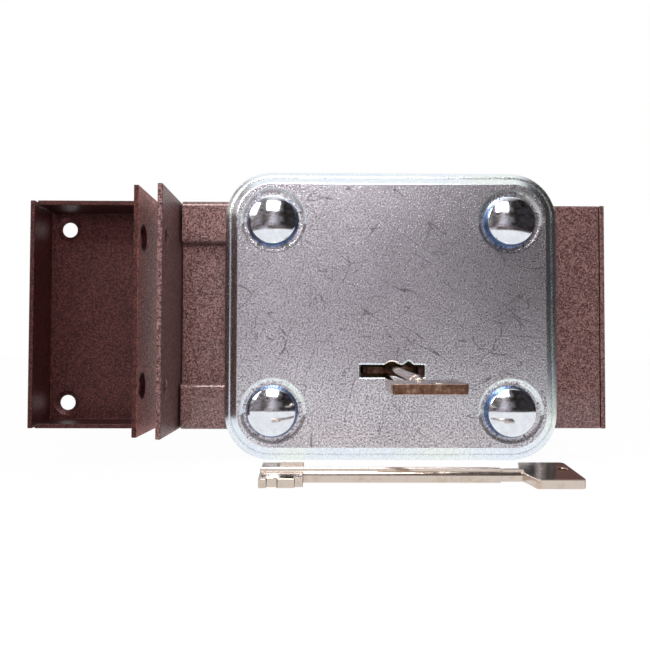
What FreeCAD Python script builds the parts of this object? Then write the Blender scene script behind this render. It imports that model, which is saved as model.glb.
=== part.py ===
import FreeCAD, Part
import math
import os

import Sketcher

# Garage door lock: a rim lock case, its keeper box, the outer armour plate with four
# domed bolts, a double bit key and a spare key. Millimetres, +X to the right seen from
# outside the door, +Y into the garage, +Z up. The origin is the centre of the four bolts
# on the plane where the case meets the door leaf.

doc = FreeCAD.newDocument("garage_door_lock")
sizes = doc.addObject("Spreadsheet::Sheet", "Sizes")
OUT = "parts"
EPS = 1e-6
PAST = 1


class Size:
    """A length or angle with its number and the sheet expression that gives it."""

    def __init__(self, value, text):
        self.value = value
        self.text = text

    def __add__(self, other):
        other = size_of(other)
        return Size(self.value + other.value, f"({self.text} + {other.text})")

    def __radd__(self, other):
        return size_of(other) + self

    def __sub__(self, other):
        other = size_of(other)
        return Size(self.value - other.value, f"({self.text} - {other.text})")

    def __rsub__(self, other):
        return size_of(other) - self

    def __mul__(self, factor):
        factor = size_of(factor)
        return Size(self.value * factor.value, f"({self.text} * {factor.text})")

    def __rmul__(self, factor):
        return self * factor

    def __truediv__(self, divisor):
        divisor = size_of(divisor)
        return Size(self.value / divisor.value, f"({self.text} / {divisor.text})")

    def __neg__(self):
        return Size(-self.value, f"(0 - {self.text})")


def size_of(number):
    """Wraps a plain number as a size."""
    if isinstance(number, Size):
        return number
    return Size(float(number), f"{float(number):.6f}")


def sin_deg(angle):
    """Sine of a size that holds degrees."""
    return Size(math.sin(math.radians(angle.value)), f"sin({angle.text} * 1 deg)")


row = 0


def dim(alias, value, meaning):
    """Writes one driving dimension to the sheet and returns it."""
    global row
    row += 1
    sizes.set(f"A{row}", alias)
    sizes.set(f"B{row}", str(value))
    sizes.setAlias(f"B{row}", alias)
    sizes.set(f"C{row}", meaning)
    return Size(float(value), f"Sizes.{alias}")


# Driving dimensions

sheet = dim("sheet", 2.2, "thickness of the folded case sheet")
bend = dim("bend", 2.4, "outer radius of the case bends")
seam = dim("seam", 0.5, "gap between the cover and the base frame")
case_height = dim("case_height", 108.6, "height of the case")
case_rise = dim("case_rise", 0.7, "middle of the case above the bolt centre")
case_depth = dim("case_depth", 30, "door plane to the back of the case")
forend_side = dim("forend_side", 102.5, "bolt centre to the outer face of the forend")
end_side = dim("end_side", 105.5, "bolt centre to the outer face of the end wall")
forend_reach = dim("forend_reach", 37.3, "how far the forend covers the door edge")

rail_sheet = dim("rail_sheet", 2, "thickness of the rail channels")
rail_height = dim("rail_height", 7.5, "rail face to the face of the cover")
rail_bend = dim("rail_bend", 2.6, "outer radius of the rail bends")
rail_gap = dim("rail_gap", 1.2, "gap between the forend and the rails")
rail_end = dim("rail_end", 72, "bolt centre to the right end of the rails")
upper_rail_width = dim("upper_rail_width", 20, "width of the upper rail")
lower_rail_width = dim("lower_rail_width", 22, "width of the lower rail")

edge_screw_spacing = dim("edge_screw_spacing", 65.3, "spacing of the door edge screws")
edge_screw_setback = dim("edge_screw_setback", 9.3, "front edge to the edge screws")
edge_hole_radius = dim("edge_hole_radius", 3.5, "radius of the edge screw holes")
sink_radius = dim("sink_radius", 6.1, "outer radius of the countersinks")
sink_depth = dim("sink_depth", 1.5, "depth of the countersinks")

door_gap = dim("door_gap", 8.9, "gap between the forend and the keeper")
keeper_length = dim("keeper_length", 60.2, "length of the keeper box")
keeper_height = dim("keeper_height", 108.5, "height of the keeper box")
keeper_rise = dim("keeper_rise", 0.9, "middle of the keeper box above the bolt centre")
keeper_reach = dim("keeper_reach", 33, "how far the strike plate covers the frame edge")
keeper_front = dim("keeper_front", 1.8, "door plane to the front edges of the keeper walls")
keeper_inside = dim("keeper_inside", 24.7, "door plane to the floor of the keeper box")
keeper_relief = dim("keeper_relief", 1.3, "gap between neighbouring keeper walls")
keeper_hole_spacing = dim("keeper_hole_spacing", 87.8, "spacing of the keeper floor screws")
keeper_hole_side = dim("keeper_hole_side", 10.7, "keeper left face to its floor screws")
keeper_hole_radius = dim("keeper_hole_radius", 3.75, "radius of the keeper floor holes")
strike_slot_height = dim("strike_slot_height", 80, "height of the bolt opening in the keeper")
strike_slot_width = dim("strike_slot_width", 15, "width of the bolt opening in the keeper")

plate_margin_x = dim("plate_margin_x", 23.1, "bolt to the side edge of the armour plate")
plate_margin_z = dim("plate_margin_z", 23.5, "bolt to the top edge of the armour plate")
plate_corner = dim("plate_corner", 22.3, "corner radius of the armour plate")
plate_sheet = dim("plate_sheet", 1.8, "thickness of the armour plate")
plate_rise = dim("plate_rise", 6, "door plane to the front of the armour plate")
plate_ledge = dim("plate_ledge", 3.1, "width of the step round the armour plate")
plate_step = dim("plate_step", 3.1, "height of the armour plate's outer step")
ledge_radius = dim("ledge_radius", 2, "rounding of the outer step")
field_radius = dim("field_radius", 2.7, "rounding of the raised field")
dish_radius = dim("dish_radius", 15.4, "outer radius of the dish round a bolt head")
dish_floor = dim("dish_floor", 12.7, "radius of the flat floor of a dish")
dish_depth = dim("dish_depth", 0.8, "depth of a dish")

bolt_pitch_x = dim("bolt_pitch_x", 111, "horizontal spacing of the four bolts")
bolt_margin = dim("bolt_margin", 9.8, "half the case height less the bolt height")
bolt_radius = dim("bolt_radius", 5, "shank radius of the four bolts")
bolt_play = dim("bolt_play", 0.5, "clearance of the bolt holes on radius")
plate_rest = dim("plate_rest", 0.1, "clearance left where the plate leans on its bolts")
bolt_length = dim("bolt_length", 85, "length of the bolts under the head")
bolt_chamfer = dim("bolt_chamfer", 1, "chamfer at the tips of the bolts")
head_radius = dim("head_radius", 12.3, "base radius of a bolt head")
head_skirt = dim("head_skirt", 4.6, "height of the tapered skirt of a bolt head")
head_top = dim("head_top", 11, "radius where the dome of a head begins")
head_dome = dim("head_dome", 2.6, "height of the dome of a head")
neck_length = dim("neck_length", 4, "length of the square neck of a bolt")
washer_radius = dim("washer_radius", 10, "outer radius of the washers")
washer_thickness = dim("washer_thickness", 2, "thickness of the washers")
nut_width = dim("nut_width", 17, "nut size across flats")
nut_height = dim("nut_height", 8.4, "height of the nuts")

key_x = dim("key_x", 0.4, "key axis to the right of the bolt centre")
key_level = dim("key_level", 28, "bottom of the case to the key axis")
keyhole_length = dim("keyhole_length", 30.1, "length of the keyhole slot")
keyhole_width = dim("keyhole_width", 5.6, "height of the keyhole slot")
keyhole_round = dim("keyhole_round", 4.25, "radius of the round part of the keyhole")
cover_hole_length = dim("cover_hole_length", 28.2, "length of the keyhole in the cover")
cover_hole_height = dim("cover_hole_height", 8, "height of the keyhole in the cover")
notch_side = dim("notch_side", 7.7, "keyhole centre to the guard notch")
notch_width = dim("notch_width", 4.8, "width of the guard notch")
notch_height = dim("notch_height", 1.8, "height of the guard notch")
key_length = dim("key_length", 123.8, "length of the key")
key_end_gap = dim("key_end_gap", 0.7, "tip of the key to the back plate")
key_swing = dim("key_swing", 1.95, "turn of the loose key about the vertical in degrees")
key_droop = dim("key_droop", 1.55, "droop of the loose key in degrees")
tip_left = dim("tip_left", 0.25, "key axis to the tip of the loose key, to the left")
tip_above = dim("tip_above", 0.2, "key axis to the tip of the loose key, upwards")
shank_radius = dim("shank_radius", 3.05, "radius of the key shank")
shank_length = dim("shank_length", 94.3, "key tip to the end of the shank")
neck_radius = dim("neck_radius", 2.6, "radius of the neck between shank and bow")
neck_end = dim("neck_end", 102.4, "key tip to the bow")
bit_reach = dim("bit_reach", 12.6, "key axis to the end of a bit")
bit_gap = dim("bit_gap", 0.6, "back of the cover to the front of the bits")
bit_thickness = dim("bit_thickness", 3.6, "thickness of the bits")
rib_height = dim("rib_height", 1.5, "height of the guide rib on the bit")
rib_width = dim("rib_width", 3.4, "width of the guide rib on the bit")
rib_root = dim("rib_root", 0.2, "how deep the rib starts in the bit")
bit_recess = dim("bit_recess", 1.4, "depth of the recess in one bit by the tail plate")
bow_width = dim("bow_width", 26.9, "width of the key bow")
bow_shoulder = dim("bow_shoulder", 2.6, "length of the slanted shoulders of the bow")
bow_thickness = dim("bow_thickness", 3.6, "thickness of the key bow")
bow_corner = dim("bow_corner", 2, "radius of the outer corners of the bow")
shoulder_corner = dim("shoulder_corner", 1, "radius of the shoulders of the bow")
bow_hole = dim("bow_hole", 2, "radius of the hole in the bow")
bow_hole_in = dim("bow_hole_in", 3.9, "end of the bow to its hole")
bow_hole_side = dim("bow_hole_side", 2.6, "key axis to the hole in the bow")
spare_front = dim("spare_front", 57, "door plane to the axis of the spare key")
spare_left = dim("spare_left", 56.6, "bolt centre to the tip of the spare key")
spare_tilt = dim("spare_tilt", 5, "tilt of the spare key about its axis in degrees")

deadbolt_height = dim("deadbolt_height", 70, "height of the deadbolt")
deadbolt_ahead = dim("deadbolt_ahead", 1.3, "gap between the cover and the deadbolt")
deadbolt_behind = dim("deadbolt_behind", 4.8, "gap between deadbolt and back plate")
deadbolt_length = dim("deadbolt_length", 60, "length of the deadbolt")
deadbolt_play = dim("deadbolt_play", 0.5, "clearance of the deadbolt in the forend")
deadbolt_set_in = dim("deadbolt_set_in", 0.3, "deadbolt end inside the forend face")
deadbolt_bevel = dim("deadbolt_bevel", 1, "chamfer of the deadbolt end")
throw = dim("throw", 32, "travel of the deadbolt")
tail_sheet = dim("tail_sheet", 2.5, "thickness of the tail plate")
tail_lap = dim("tail_lap", 19.5, "overlap of the tail plate on the deadbolt")
tail_rise = dim("tail_rise", 58.6, "key axis to the top of the tail plate")
tail_drop = dim("tail_drop", 7.4, "key axis to the foot of the tail plate")
tail_right = dim("tail_right", 49.6, "bolt centre to the right end of the tail plate")
tail_skirt_left = dim("tail_skirt_left", 17.5, "bolt centre to the left of the tail skirt")
tail_skirt_drop = dim("tail_skirt_drop", 25.4, "key axis to the foot of the tail skirt")
talon_radius = dim("talon_radius", 3, "radius of the drive notches in the tail plate")
talon_pitch = dim("talon_pitch", 16, "spacing of the drive notches, one for each turn")
rivet_radius = dim("rivet_radius", 3, "radius of the tail rivets")
rivet_spacing = dim("rivet_spacing", 36, "spacing of the tail rivets")
key_play = dim("key_play", 0.6, "clearance round the turning bits")
stump_x = dim("stump_x", 8, "stump to the right of the bolt centre")
stump_rise = dim("stump_rise", 29.6, "stump above the key axis")
stump_radius = dim("stump_radius", 2.5, "radius of the stump")

lever_count = 6
lever_ahead = dim("lever_ahead", 0.6, "gap between the cover and the first lever")
lever_behind = dim("lever_behind", 0.9, "gap between the last lever and the tail plate")
lever_gap = dim("lever_gap", 0.3, "gap between two levers")
lever_lift = dim("lever_lift", 3.5, "lift of a lever in degrees")
pivot_x = dim("pivot_x", 40, "lever post to the right of the bolt centre")
pivot_rise = dim("pivot_rise", 21.6, "lever post above the key axis")
pivot_radius = dim("pivot_radius", 3, "radius of the lever post")
pivot_play = dim("pivot_play", 0.05, "running clearance of the levers on their post")
lever_boss = dim("lever_boss", 7, "radius of a lever round its post")
lever_left = dim("lever_left", 33, "bolt centre to the free end of a lever")
lever_rise = dim("lever_rise", 37.6, "top edge of a lever above the key axis")
lever_land = dim("lever_land", 1.6, "key window to the foot of the lever's beam")
lever_rim = dim("lever_rim", 3.6, "width of a lever round the key window")
window_radius = dim("window_radius", 15, "radius of the key window in a lever")
gate_play = dim("gate_play", 0.4, "clearance of the stump in a gate")
gate_swing = dim("gate_swing", 0.6, "extra width of a gate for the swing of the lever")

guide_x = dim("guide_x", 5, "upper guide post to the left of the bolt centre")
guide_rise = dim("guide_rise", 49.6, "upper guide post above the key axis")
guide_radius = dim("guide_radius", 3, "radius of the upper guide post")
foot_guide_x = dim("foot_guide_x", 4, "lower guide post to the right of the centre")
foot_guide_drop = dim("foot_guide_drop", 22, "lower guide post below the key axis")
foot_guide_radius = dim("foot_guide_radius", 2.2, "radius of the lower guide post")
guide_play = dim("guide_play", 0.3, "clearance of the guide posts in their slots")
post_end = dim("post_end", 2, "radius of the riveted ends of the posts")

spring_block_beyond = dim("spring_block_beyond", 6.5, "bolt axis to the left of the spring block")
spring_block_width = dim("spring_block_width", 6, "width of the spring block")
spring_block_foot = dim("spring_block_foot", 39.6, "key axis to the spring block's foot")
spring_block_top = dim("spring_block_top", 51.6, "key axis to the spring block's top")
spring_sheet = dim("spring_sheet", 0.6, "thickness of a leaf spring")
spring_share = dim("spring_share", 0.77, "width of a leaf spring as a share of a lever")
spring_root = dim("spring_root", 46.1, "root of a leaf spring above the key axis")
spring_tip = dim("spring_tip", 0, "tip of a leaf spring from the bolt centre")
spring_seat = dim("spring_seat", 0.3, "gap between a leaf spring and its lever")

drum_radius = dim("drum_radius", 15.6, "radius of the key drum")
drum_ahead = dim("drum_ahead", 1.4, "gap between the tail plate and the key drum")
drum_play = dim("drum_play", 0.3, "gap between the drum and the back plate")
journal_radius = dim("journal_radius", 6, "radius of the drum's journal")
journal_play = dim("journal_play", 0.05, "running clearance of the journal")
socket_play = dim("socket_play", 0.3, "clearance of the bits in the drum's socket")

# Places worked out from the driving dimensions

forend_x = -forend_side
inner_back = case_depth - sheet
cover_back = rail_height + sheet
half_case = case_height / 2
case_top = half_case + case_rise
case_bottom = case_rise - half_case
cover_left = forend_x + sheet + seam
cover_right = end_side - sheet - seam
rail_left = forend_x + sheet + rail_gap
strike_face = forend_x - door_gap
keeper_left = strike_face - keeper_length
keeper_back = keeper_inside + sheet
half_keeper = keeper_height / 2
key_z = case_bottom + key_level
bolt_x = bolt_pitch_x / 2
bolt_z = half_case - bolt_margin
bolt_hole = bolt_radius + bolt_play
spring_block_left = bolt_x + spring_block_beyond
plate_shift = bolt_play - plate_rest
half_plate_x = bolt_x + plate_margin_x
half_plate_z = bolt_z + plate_margin_z
head_seat = dish_depth - plate_rise
deadbolt_front = cover_back + deadbolt_ahead
deadbolt_back = inner_back - deadbolt_behind
deadbolt_middle = (deadbolt_front + deadbolt_back) / 2
deadbolt_left = forend_x + deadbolt_set_in
deadbolt_right = deadbolt_left + deadbolt_length
tail_front = deadbolt_back - tail_sheet
tail_left = deadbolt_right - tail_lap
bit_sweep = bit_reach + key_play
tail_foot = key_z - tail_drop
pivot_z = key_z + pivot_rise
stump_z = key_z + stump_rise
guide_z = key_z + guide_rise
foot_guide_z = key_z - foot_guide_drop
lever_top = key_z + lever_rise
lever_front = cover_back + lever_ahead
lever_space = tail_front - lever_behind - lever_front
lever_pitch = (lever_space + lever_gap) / lever_count
lever_sheet = lever_pitch - lever_gap
drum_front = deadbolt_back + drum_ahead
key_tip = inner_back - key_end_gap
bit_length = key_tip - cover_back - bit_gap
ground = plate_shift - half_plate_z
spare_rise = (bow_width * sin_deg(spare_tilt) + bow_thickness) / 2

# Sketch and feature helpers


def new_body(label):
    """An empty body whose label is its node's name."""
    body = doc.addObject("PartDesign::Body", label)
    body.Label = label
    return body


def new_sketch(body, role, height):
    """A sketch of the body on one of its origin planes, raised by height along its normal."""
    plane = next(f for f in body.Origin.OriginFeatures if f.Role == role)
    sketch = body.newObject("Sketcher::SketchObject", f"{body.Name}_sketch")
    sketch.AttachmentSupport = [(plane, "")]
    sketch.MapMode = "FlatFace"
    height = size_of(height)
    sketch.AttachmentOffset = FreeCAD.Placement(
        FreeCAD.Vector(0, 0, height.value), FreeCAD.Rotation()
    )
    sketch.setExpression("AttachmentOffset.Base.z", height.text)
    return sketch


def hold(sketch, kind, where, size):
    """Adds one dimension to a sketch and ties it to the sheet."""
    size = size_of(size)
    index = sketch.addConstraint(Sketcher.Constraint(kind, *where, size.value))
    sketch.setExpression(f"Constraints[{index}]", size.text)


def pin_point(sketch, geometry, end, x, y):
    """Holds one end of a line or arc at a place measured from the sketch's origin."""
    hold(sketch, "DistanceX", (-1, 1, geometry, end), x)
    hold(sketch, "DistanceY", (-1, 1, geometry, end), y)


def draw_polygon(sketch, points):
    """A closed outline of straight lines through the given points."""
    places = [(size_of(x), size_of(y)) for x, y in points]
    count = len(places)
    for i, (x, y) in enumerate(places):
        nx, ny = places[(i + 1) % count]
        start = FreeCAD.Vector(x.value, y.value, 0)
        end = FreeCAD.Vector(nx.value, ny.value, 0)
        sketch.addGeometry(Part.LineSegment(start, end), False)
    for i in range(count):
        sketch.addConstraint(Sketcher.Constraint("Coincident", i, 2, (i + 1) % count, 1))
    for i, (x, y) in enumerate(places):
        pin_point(sketch, i, 1, x, y)


def draw_rectangle(sketch, x0, x1, y0, y1):
    """A rectangle between two x and two y values."""
    draw_polygon(sketch, [(x0, y0), (x1, y0), (x1, y1), (x0, y1)])


def draw_circle(sketch, x, y, radius):
    """A circle about a point."""
    x, y, radius = size_of(x), size_of(y), size_of(radius)
    centre = FreeCAD.Vector(x.value, y.value, 0)
    index = sketch.addGeometry(
        Part.Circle(centre, FreeCAD.Vector(0, 0, 1), radius.value), False
    )
    hold(sketch, "Radius", (index,), radius)
    pin_point(sketch, index, 3, x, y)


def volume_of(body):
    """Volume of a body so far, zero while it is empty."""
    if body.Tip is None or body.Tip.Shape.isNull():
        return 0.0
    return body.Tip.Shape.Volume


def across(axis, low, high):
    """Plane, sketch height and pad direction for a slab between low and high on an axis."""
    low, high = size_of(low), size_of(high)
    if axis == "Y":
        return "XZ_Plane", -high, -low, high - low
    return ("XY_Plane" if axis == "Z" else "YZ_Plane"), low, high, high - low


def pad(body, axis, low, high, draw, *outline):
    """Adds a slab between two values on an axis. Outlines on Y use X and Z, on X they use
    Y and Z, and on Z they use X and Y."""
    role, start, _, length = across(axis, low, high)
    sketch = new_sketch(body, role, start)
    draw(sketch, *outline)
    feature = body.newObject("PartDesign::Pad", f"{body.Name}_pad")
    feature.Profile = sketch
    feature.Length = length.value
    feature.setExpression("Length", length.text)
    doc.recompute()
    return feature


def pocket(body, axis, low, high, draw, *outline):
    """Cuts a slab between two values on an axis, and makes sure that it removed metal."""
    role, _, start, length = across(axis, low, high)
    before = volume_of(body)
    sketch = new_sketch(body, role, start)
    draw(sketch, *outline)
    feature = body.newObject("PartDesign::Pocket", f"{body.Name}_pocket")
    feature.Profile = sketch
    feature.Length = length.value
    feature.setExpression("Length", length.text)
    doc.recompute()
    if volume_of(body) > before - EPS:
        raise ValueError(f"a pocket of {body.Label} cuts nothing")
    return feature


def edges_where(shape, test):
    """Names of the straight edges whose two ends both pass a test."""
    names = []
    for i, edge in enumerate(shape.Edges):
        ends = [v.Point for v in edge.Vertexes]
        if len(ends) == 2 and edge.Curve.TypeId == "Part::GeomLine":
            if test(ends[0]) and test(ends[1]):
                names.append(f"Edge{i + 1}")
    return names


def near(value, size):
    """Whether a coordinate lies on a size."""
    return abs(value - size.value) < 1e-4


def round_edges(body, radius, test, kind="PartDesign::Fillet"):
    """Rounds or bevels the straight edges that pass a test."""
    radius = size_of(radius)
    base = body.Tip
    names = edges_where(base.Shape, test)
    if not names:
        raise ValueError(f"no edge of {body.Label} to round")
    feature = body.newObject(kind, f"{body.Name}_edges")
    feature.Base = (base, names)
    field = "Radius" if kind == "PartDesign::Fillet" else "Size"
    setattr(feature, field, radius.value)
    feature.setExpression(field, radius.text)
    doc.recompute()
    return feature


def revolve(body, role, height, draw_profile, axis_name):
    """Turns a profile, drawn by a function, about an axis of its sketch."""
    sketch = new_sketch(body, role, height)
    draw_profile(sketch)
    feature = body.newObject("PartDesign::Revolution", f"{body.Name}_turned")
    feature.Profile = sketch
    feature.ReferenceAxis = (sketch, [axis_name])
    feature.Angle = 360
    doc.recompute()
    return feature


def sink(body, axis, outer, inner, u, v, wide, narrow):
    """Cuts a cone frustum, wide at outer and narrow at inner, along X or Y."""
    outer, inner, u, v = size_of(outer), size_of(inner), size_of(u), size_of(v)
    before = volume_of(body)
    feature = body.newObject("PartDesign::SubtractiveCone", f"{body.Name}_sink")
    length = outer - inner
    forward = length.value < 0
    if forward:
        length = -length
    fields = {"Radius1": size_of(wide), "Radius2": size_of(narrow), "Height": length}
    for field, value in fields.items():
        setattr(feature, field, value.value)
        feature.setExpression(field, value.text)
    places = {"X": (outer, u, v), "Y": (u, outer, v)}[axis]
    turns = {
        ("X", True): FreeCAD.Rotation(FreeCAD.Vector(0, 1, 0), 90),
        ("X", False): FreeCAD.Rotation(FreeCAD.Vector(0, 1, 0), -90),
        ("Y", True): FreeCAD.Rotation(FreeCAD.Vector(1, 0, 0), -90),
        ("Y", False): FreeCAD.Rotation(FreeCAD.Vector(1, 0, 0), 90),
    }
    feature.AttachmentSupport = [(body.Origin.OriginFeatures[3], "")]
    feature.MapMode = "FlatFace"
    base = FreeCAD.Vector(*(p.value for p in places))
    feature.AttachmentOffset = FreeCAD.Placement(base, turns[(axis, forward)])
    for letter, place in zip("xyz", places):
        feature.setExpression(f"AttachmentOffset.Base.{letter}", place.text)
    doc.recompute()
    if volume_of(body) > before - EPS:
        raise ValueError(f"a countersink of {body.Label} cuts nothing")
    return feature


def four_of(source, label):
    """The source and its mirror images about the two middle planes, as one group."""
    side = doc.addObject("Part::Mirroring", f"{label}_side")
    side.Source = source
    side.Normal = FreeCAD.Vector(1, 0, 0)
    lower = []
    for i, upper in enumerate((source, side)):
        mirror = doc.addObject("Part::Mirroring", f"{label}_lower_{i + 1}")
        mirror.Source = upper
        mirror.Normal = FreeCAD.Vector(0, 0, 1)
        lower.append(mirror)
    group = doc.addObject("Part::Compound", label)
    group.Links = [source, side] + lower
    group.Label = label
    doc.recompute()
    return group


def bolt_holes(body, low, high, radius):
    """The four holes of the bolt pattern through a slab on Y."""
    for x in (-bolt_x, bolt_x):
        for z in (-bolt_z, bolt_z):
            pocket(body, "Y", low, high, draw_circle, x, z, radius)


def draw_notched_slot(sketch, x, z, half_length, half_width, side, width, height):
    """A straight slot with a triangular guard notch in its upper edge."""
    top = z + half_width
    draw_polygon(
        sketch,
        [
            (x - half_length, z - half_width),
            (x + half_length, z - half_width),
            (x + half_length, top),
            (x + side + width / 2, top),
            (x + side, top + height),
            (x + side - width / 2, top),
            (x - half_length, top),
        ],
    )


# Case


def make_base_frame():
    """Forend, back plate and end wall, folded from one sheet."""
    body = new_body("base_frame")
    outline = [
        (forend_x, -forend_reach),
        (forend_x + sheet, -forend_reach),
        (forend_x + sheet, inner_back),
        (end_side - sheet, inner_back),
        (end_side - sheet, rail_height),
        (end_side, rail_height),
        (end_side, case_depth),
        (forend_x, case_depth),
    ]
    pad(body, "Z", case_bottom, case_top, draw_polygon, outline)
    for x in (forend_x, end_side):
        round_edges(
            body, bend, lambda p, x=x: near(p.x, x) and near(p.y, case_depth)
        )
    half_rise = deadbolt_height / 2 + deadbolt_play
    through = (forend_x - PAST, forend_x + sheet + PAST)
    pocket(
        body, "X", *through, draw_rectangle,
        deadbolt_front - deadbolt_play, deadbolt_back + deadbolt_play,
        -half_rise, half_rise,
    )
    screw_y = edge_screw_setback - forend_reach
    for side in (-1, 1):
        z = case_rise + side * edge_screw_spacing / 2
        pocket(body, "X", *through, draw_circle, screw_y, z, edge_hole_radius)
        sink(body, "X", forend_x, forend_x + sink_depth, screw_y, z, sink_radius, edge_hole_radius)
    behind = (inner_back - PAST, case_depth + PAST)
    bolt_holes(body, *behind, bolt_hole)
    pocket(body, "Y", *behind, draw_circle, key_x, key_z, journal_radius + journal_play)
    for x, z in post_places():
        pocket(body, "Y", *behind, draw_circle, x, z, post_end)
    return body


def post_places():
    """Centres of the three riveted posts."""
    return [(pivot_x, pivot_z), (-guide_x, guide_z), (foot_guide_x, foot_guide_z)]


def make_front_cover():
    """Face, top wall and bottom wall, folded from one sheet."""
    body = new_body("front_cover")
    outline = [
        (rail_height, case_bottom),
        (inner_back, case_bottom),
        (inner_back, case_bottom + sheet),
        (cover_back, case_bottom + sheet),
        (cover_back, case_top - sheet),
        (inner_back, case_top - sheet),
        (inner_back, case_top),
        (rail_height, case_top),
    ]
    pad(body, "X", cover_left, cover_right, draw_polygon, outline)
    for z in (case_bottom, case_top):
        round_edges(body, bend / 2, lambda p, z=z: near(p.z, z) and near(p.y, rail_height))
    through = (rail_height - PAST, cover_back + PAST)
    bolt_holes(body, *through, bolt_hole)
    pocket(
        body, "Y", *through, draw_rectangle,
        key_x - cover_hole_length / 2, key_x + cover_hole_length / 2,
        key_z - cover_hole_height / 2, key_z + cover_hole_height / 2,
    )
    for x, z in post_places():
        pocket(body, "Y", *through, draw_circle, x, z, post_end)
    return body


def make_rail(label, low, high):
    """A channel on the face of the cover that bears on the door leaf."""
    body = new_body(label)
    outline = [
        (0, low),
        (rail_height, low),
        (rail_height, low + rail_sheet),
        (rail_sheet, low + rail_sheet),
        (rail_sheet, high - rail_sheet),
        (rail_height, high - rail_sheet),
        (rail_height, high),
        (0, high),
    ]
    pad(body, "X", rail_left, rail_end, draw_polygon, outline)
    for z in (low, high):
        round_edges(body, rail_bend, lambda p, z=z: near(p.z, z) and abs(p.y) < 1e-4)
    height = bolt_z if high.value > 0 else -bolt_z
    for x in (-bolt_x, bolt_x):
        pocket(body, "Y", -PAST, rail_sheet + PAST, draw_circle, x, height, bolt_hole)
    return body


# Keeper


def make_keeper_box():
    """Open tray with the strike plate as its right wall, folded from one sheet."""
    body = new_body("keeper_box")
    outline = [
        (keeper_left, keeper_front),
        (keeper_left + sheet, keeper_front),
        (keeper_left + sheet, keeper_inside),
        (strike_face - sheet, keeper_inside),
        (strike_face - sheet, -keeper_reach),
        (strike_face, -keeper_reach),
        (strike_face, keeper_back),
        (keeper_left, keeper_back),
    ]
    pad(body, "Z", -half_keeper, half_keeper, draw_polygon, outline)
    for x in (keeper_left, strike_face):
        round_edges(body, bend, lambda p, x=x: near(p.x, x) and near(p.y, keeper_back))
    wall_left = keeper_left + sheet + keeper_relief
    wall_right = strike_face - sheet - keeper_relief
    for low, high in ((-half_keeper, sheet - half_keeper), (half_keeper - sheet, half_keeper)):
        pad(
            body, "Z", low, high, draw_rectangle,
            wall_left, wall_right, keeper_front, keeper_inside + sheet / 2,
        )
    half_slot = strike_slot_width / 2
    through = (strike_face - sheet - PAST, strike_face + PAST)
    pocket(
        body, "X", *through, draw_rectangle,
        deadbolt_middle - half_slot, deadbolt_middle + half_slot,
        -(strike_slot_height / 2), strike_slot_height / 2,
    )
    screw_y = edge_screw_setback - keeper_reach
    for z in (-(edge_screw_spacing / 2), edge_screw_spacing / 2):
        pocket(body, "X", *through, draw_circle, screw_y, z, edge_hole_radius)
        sink(body, "X", strike_face, strike_face - sink_depth, screw_y, z, sink_radius, edge_hole_radius)
    hole_x = keeper_left + keeper_hole_side
    for z in (-(keeper_hole_spacing / 2), keeper_hole_spacing / 2):
        pocket(
            body, "Y", keeper_inside - PAST, keeper_back + PAST, draw_circle,
            hole_x, z, keeper_hole_radius,
        )
        sink(
            body, "Y", keeper_inside, keeper_inside + sink_depth, hole_x, z,
            sink_radius, keeper_hole_radius,
        )
    place(body, 0, 0, keeper_rise, (0, 0, 0))
    return body


# Armour plate


def draw_rounded_plate(sketch, half_width, half_height, corner):
    """A rectangle with quarter circle corners about the sketch's origin."""
    w, h, r = size_of(half_width), size_of(half_height), size_of(corner)
    straight = [
        ((-w + r, -h), (w - r, -h)),
        ((w, -h + r), (w, h - r)),
        ((w - r, h), (-w + r, h)),
        ((-w, h - r), (-w, -h + r)),
    ]
    centres = [(w - r, -h + r), (w - r, h - r), (-w + r, h - r), (-w + r, -h + r)]
    for i in range(4):
        (x0, y0), (x1, y1) = straight[i]
        sketch.addGeometry(
            Part.LineSegment(
                FreeCAD.Vector(x0.value, y0.value, 0), FreeCAD.Vector(x1.value, y1.value, 0)
            ),
            False,
        )
        cx, cy = centres[i]
        circle = Part.Circle(
            FreeCAD.Vector(cx.value, cy.value, 0), FreeCAD.Vector(0, 0, 1), r.value
        )
        first = math.radians(-90 + 90 * i)
        sketch.addGeometry(Part.ArcOfCircle(circle, first, first + math.pi / 2), False)
    for i in range(4):
        line, arc = 2 * i, 2 * i + 1
        sketch.addConstraint(Sketcher.Constraint("Tangent", line, 2, arc, 1))
        sketch.addConstraint(Sketcher.Constraint("Tangent", arc, 2, (line + 2) % 8, 1))
    for i in range(4):
        sketch.addConstraint(
            Sketcher.Constraint("Horizontal" if i % 2 == 0 else "Vertical", 2 * i)
        )
    hold(sketch, "Radius", (1,), r)
    for arc in (3, 5, 7):
        sketch.addConstraint(Sketcher.Constraint("Equal", 1, arc))
    hold(sketch, "DistanceY", (-1, 1, 0, 1), -h)
    hold(sketch, "DistanceX", (-1, 1, 2, 1), w)
    hold(sketch, "DistanceY", (-1, 1, 4, 1), h)
    hold(sketch, "DistanceX", (-1, 1, 6, 1), -w)


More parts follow.
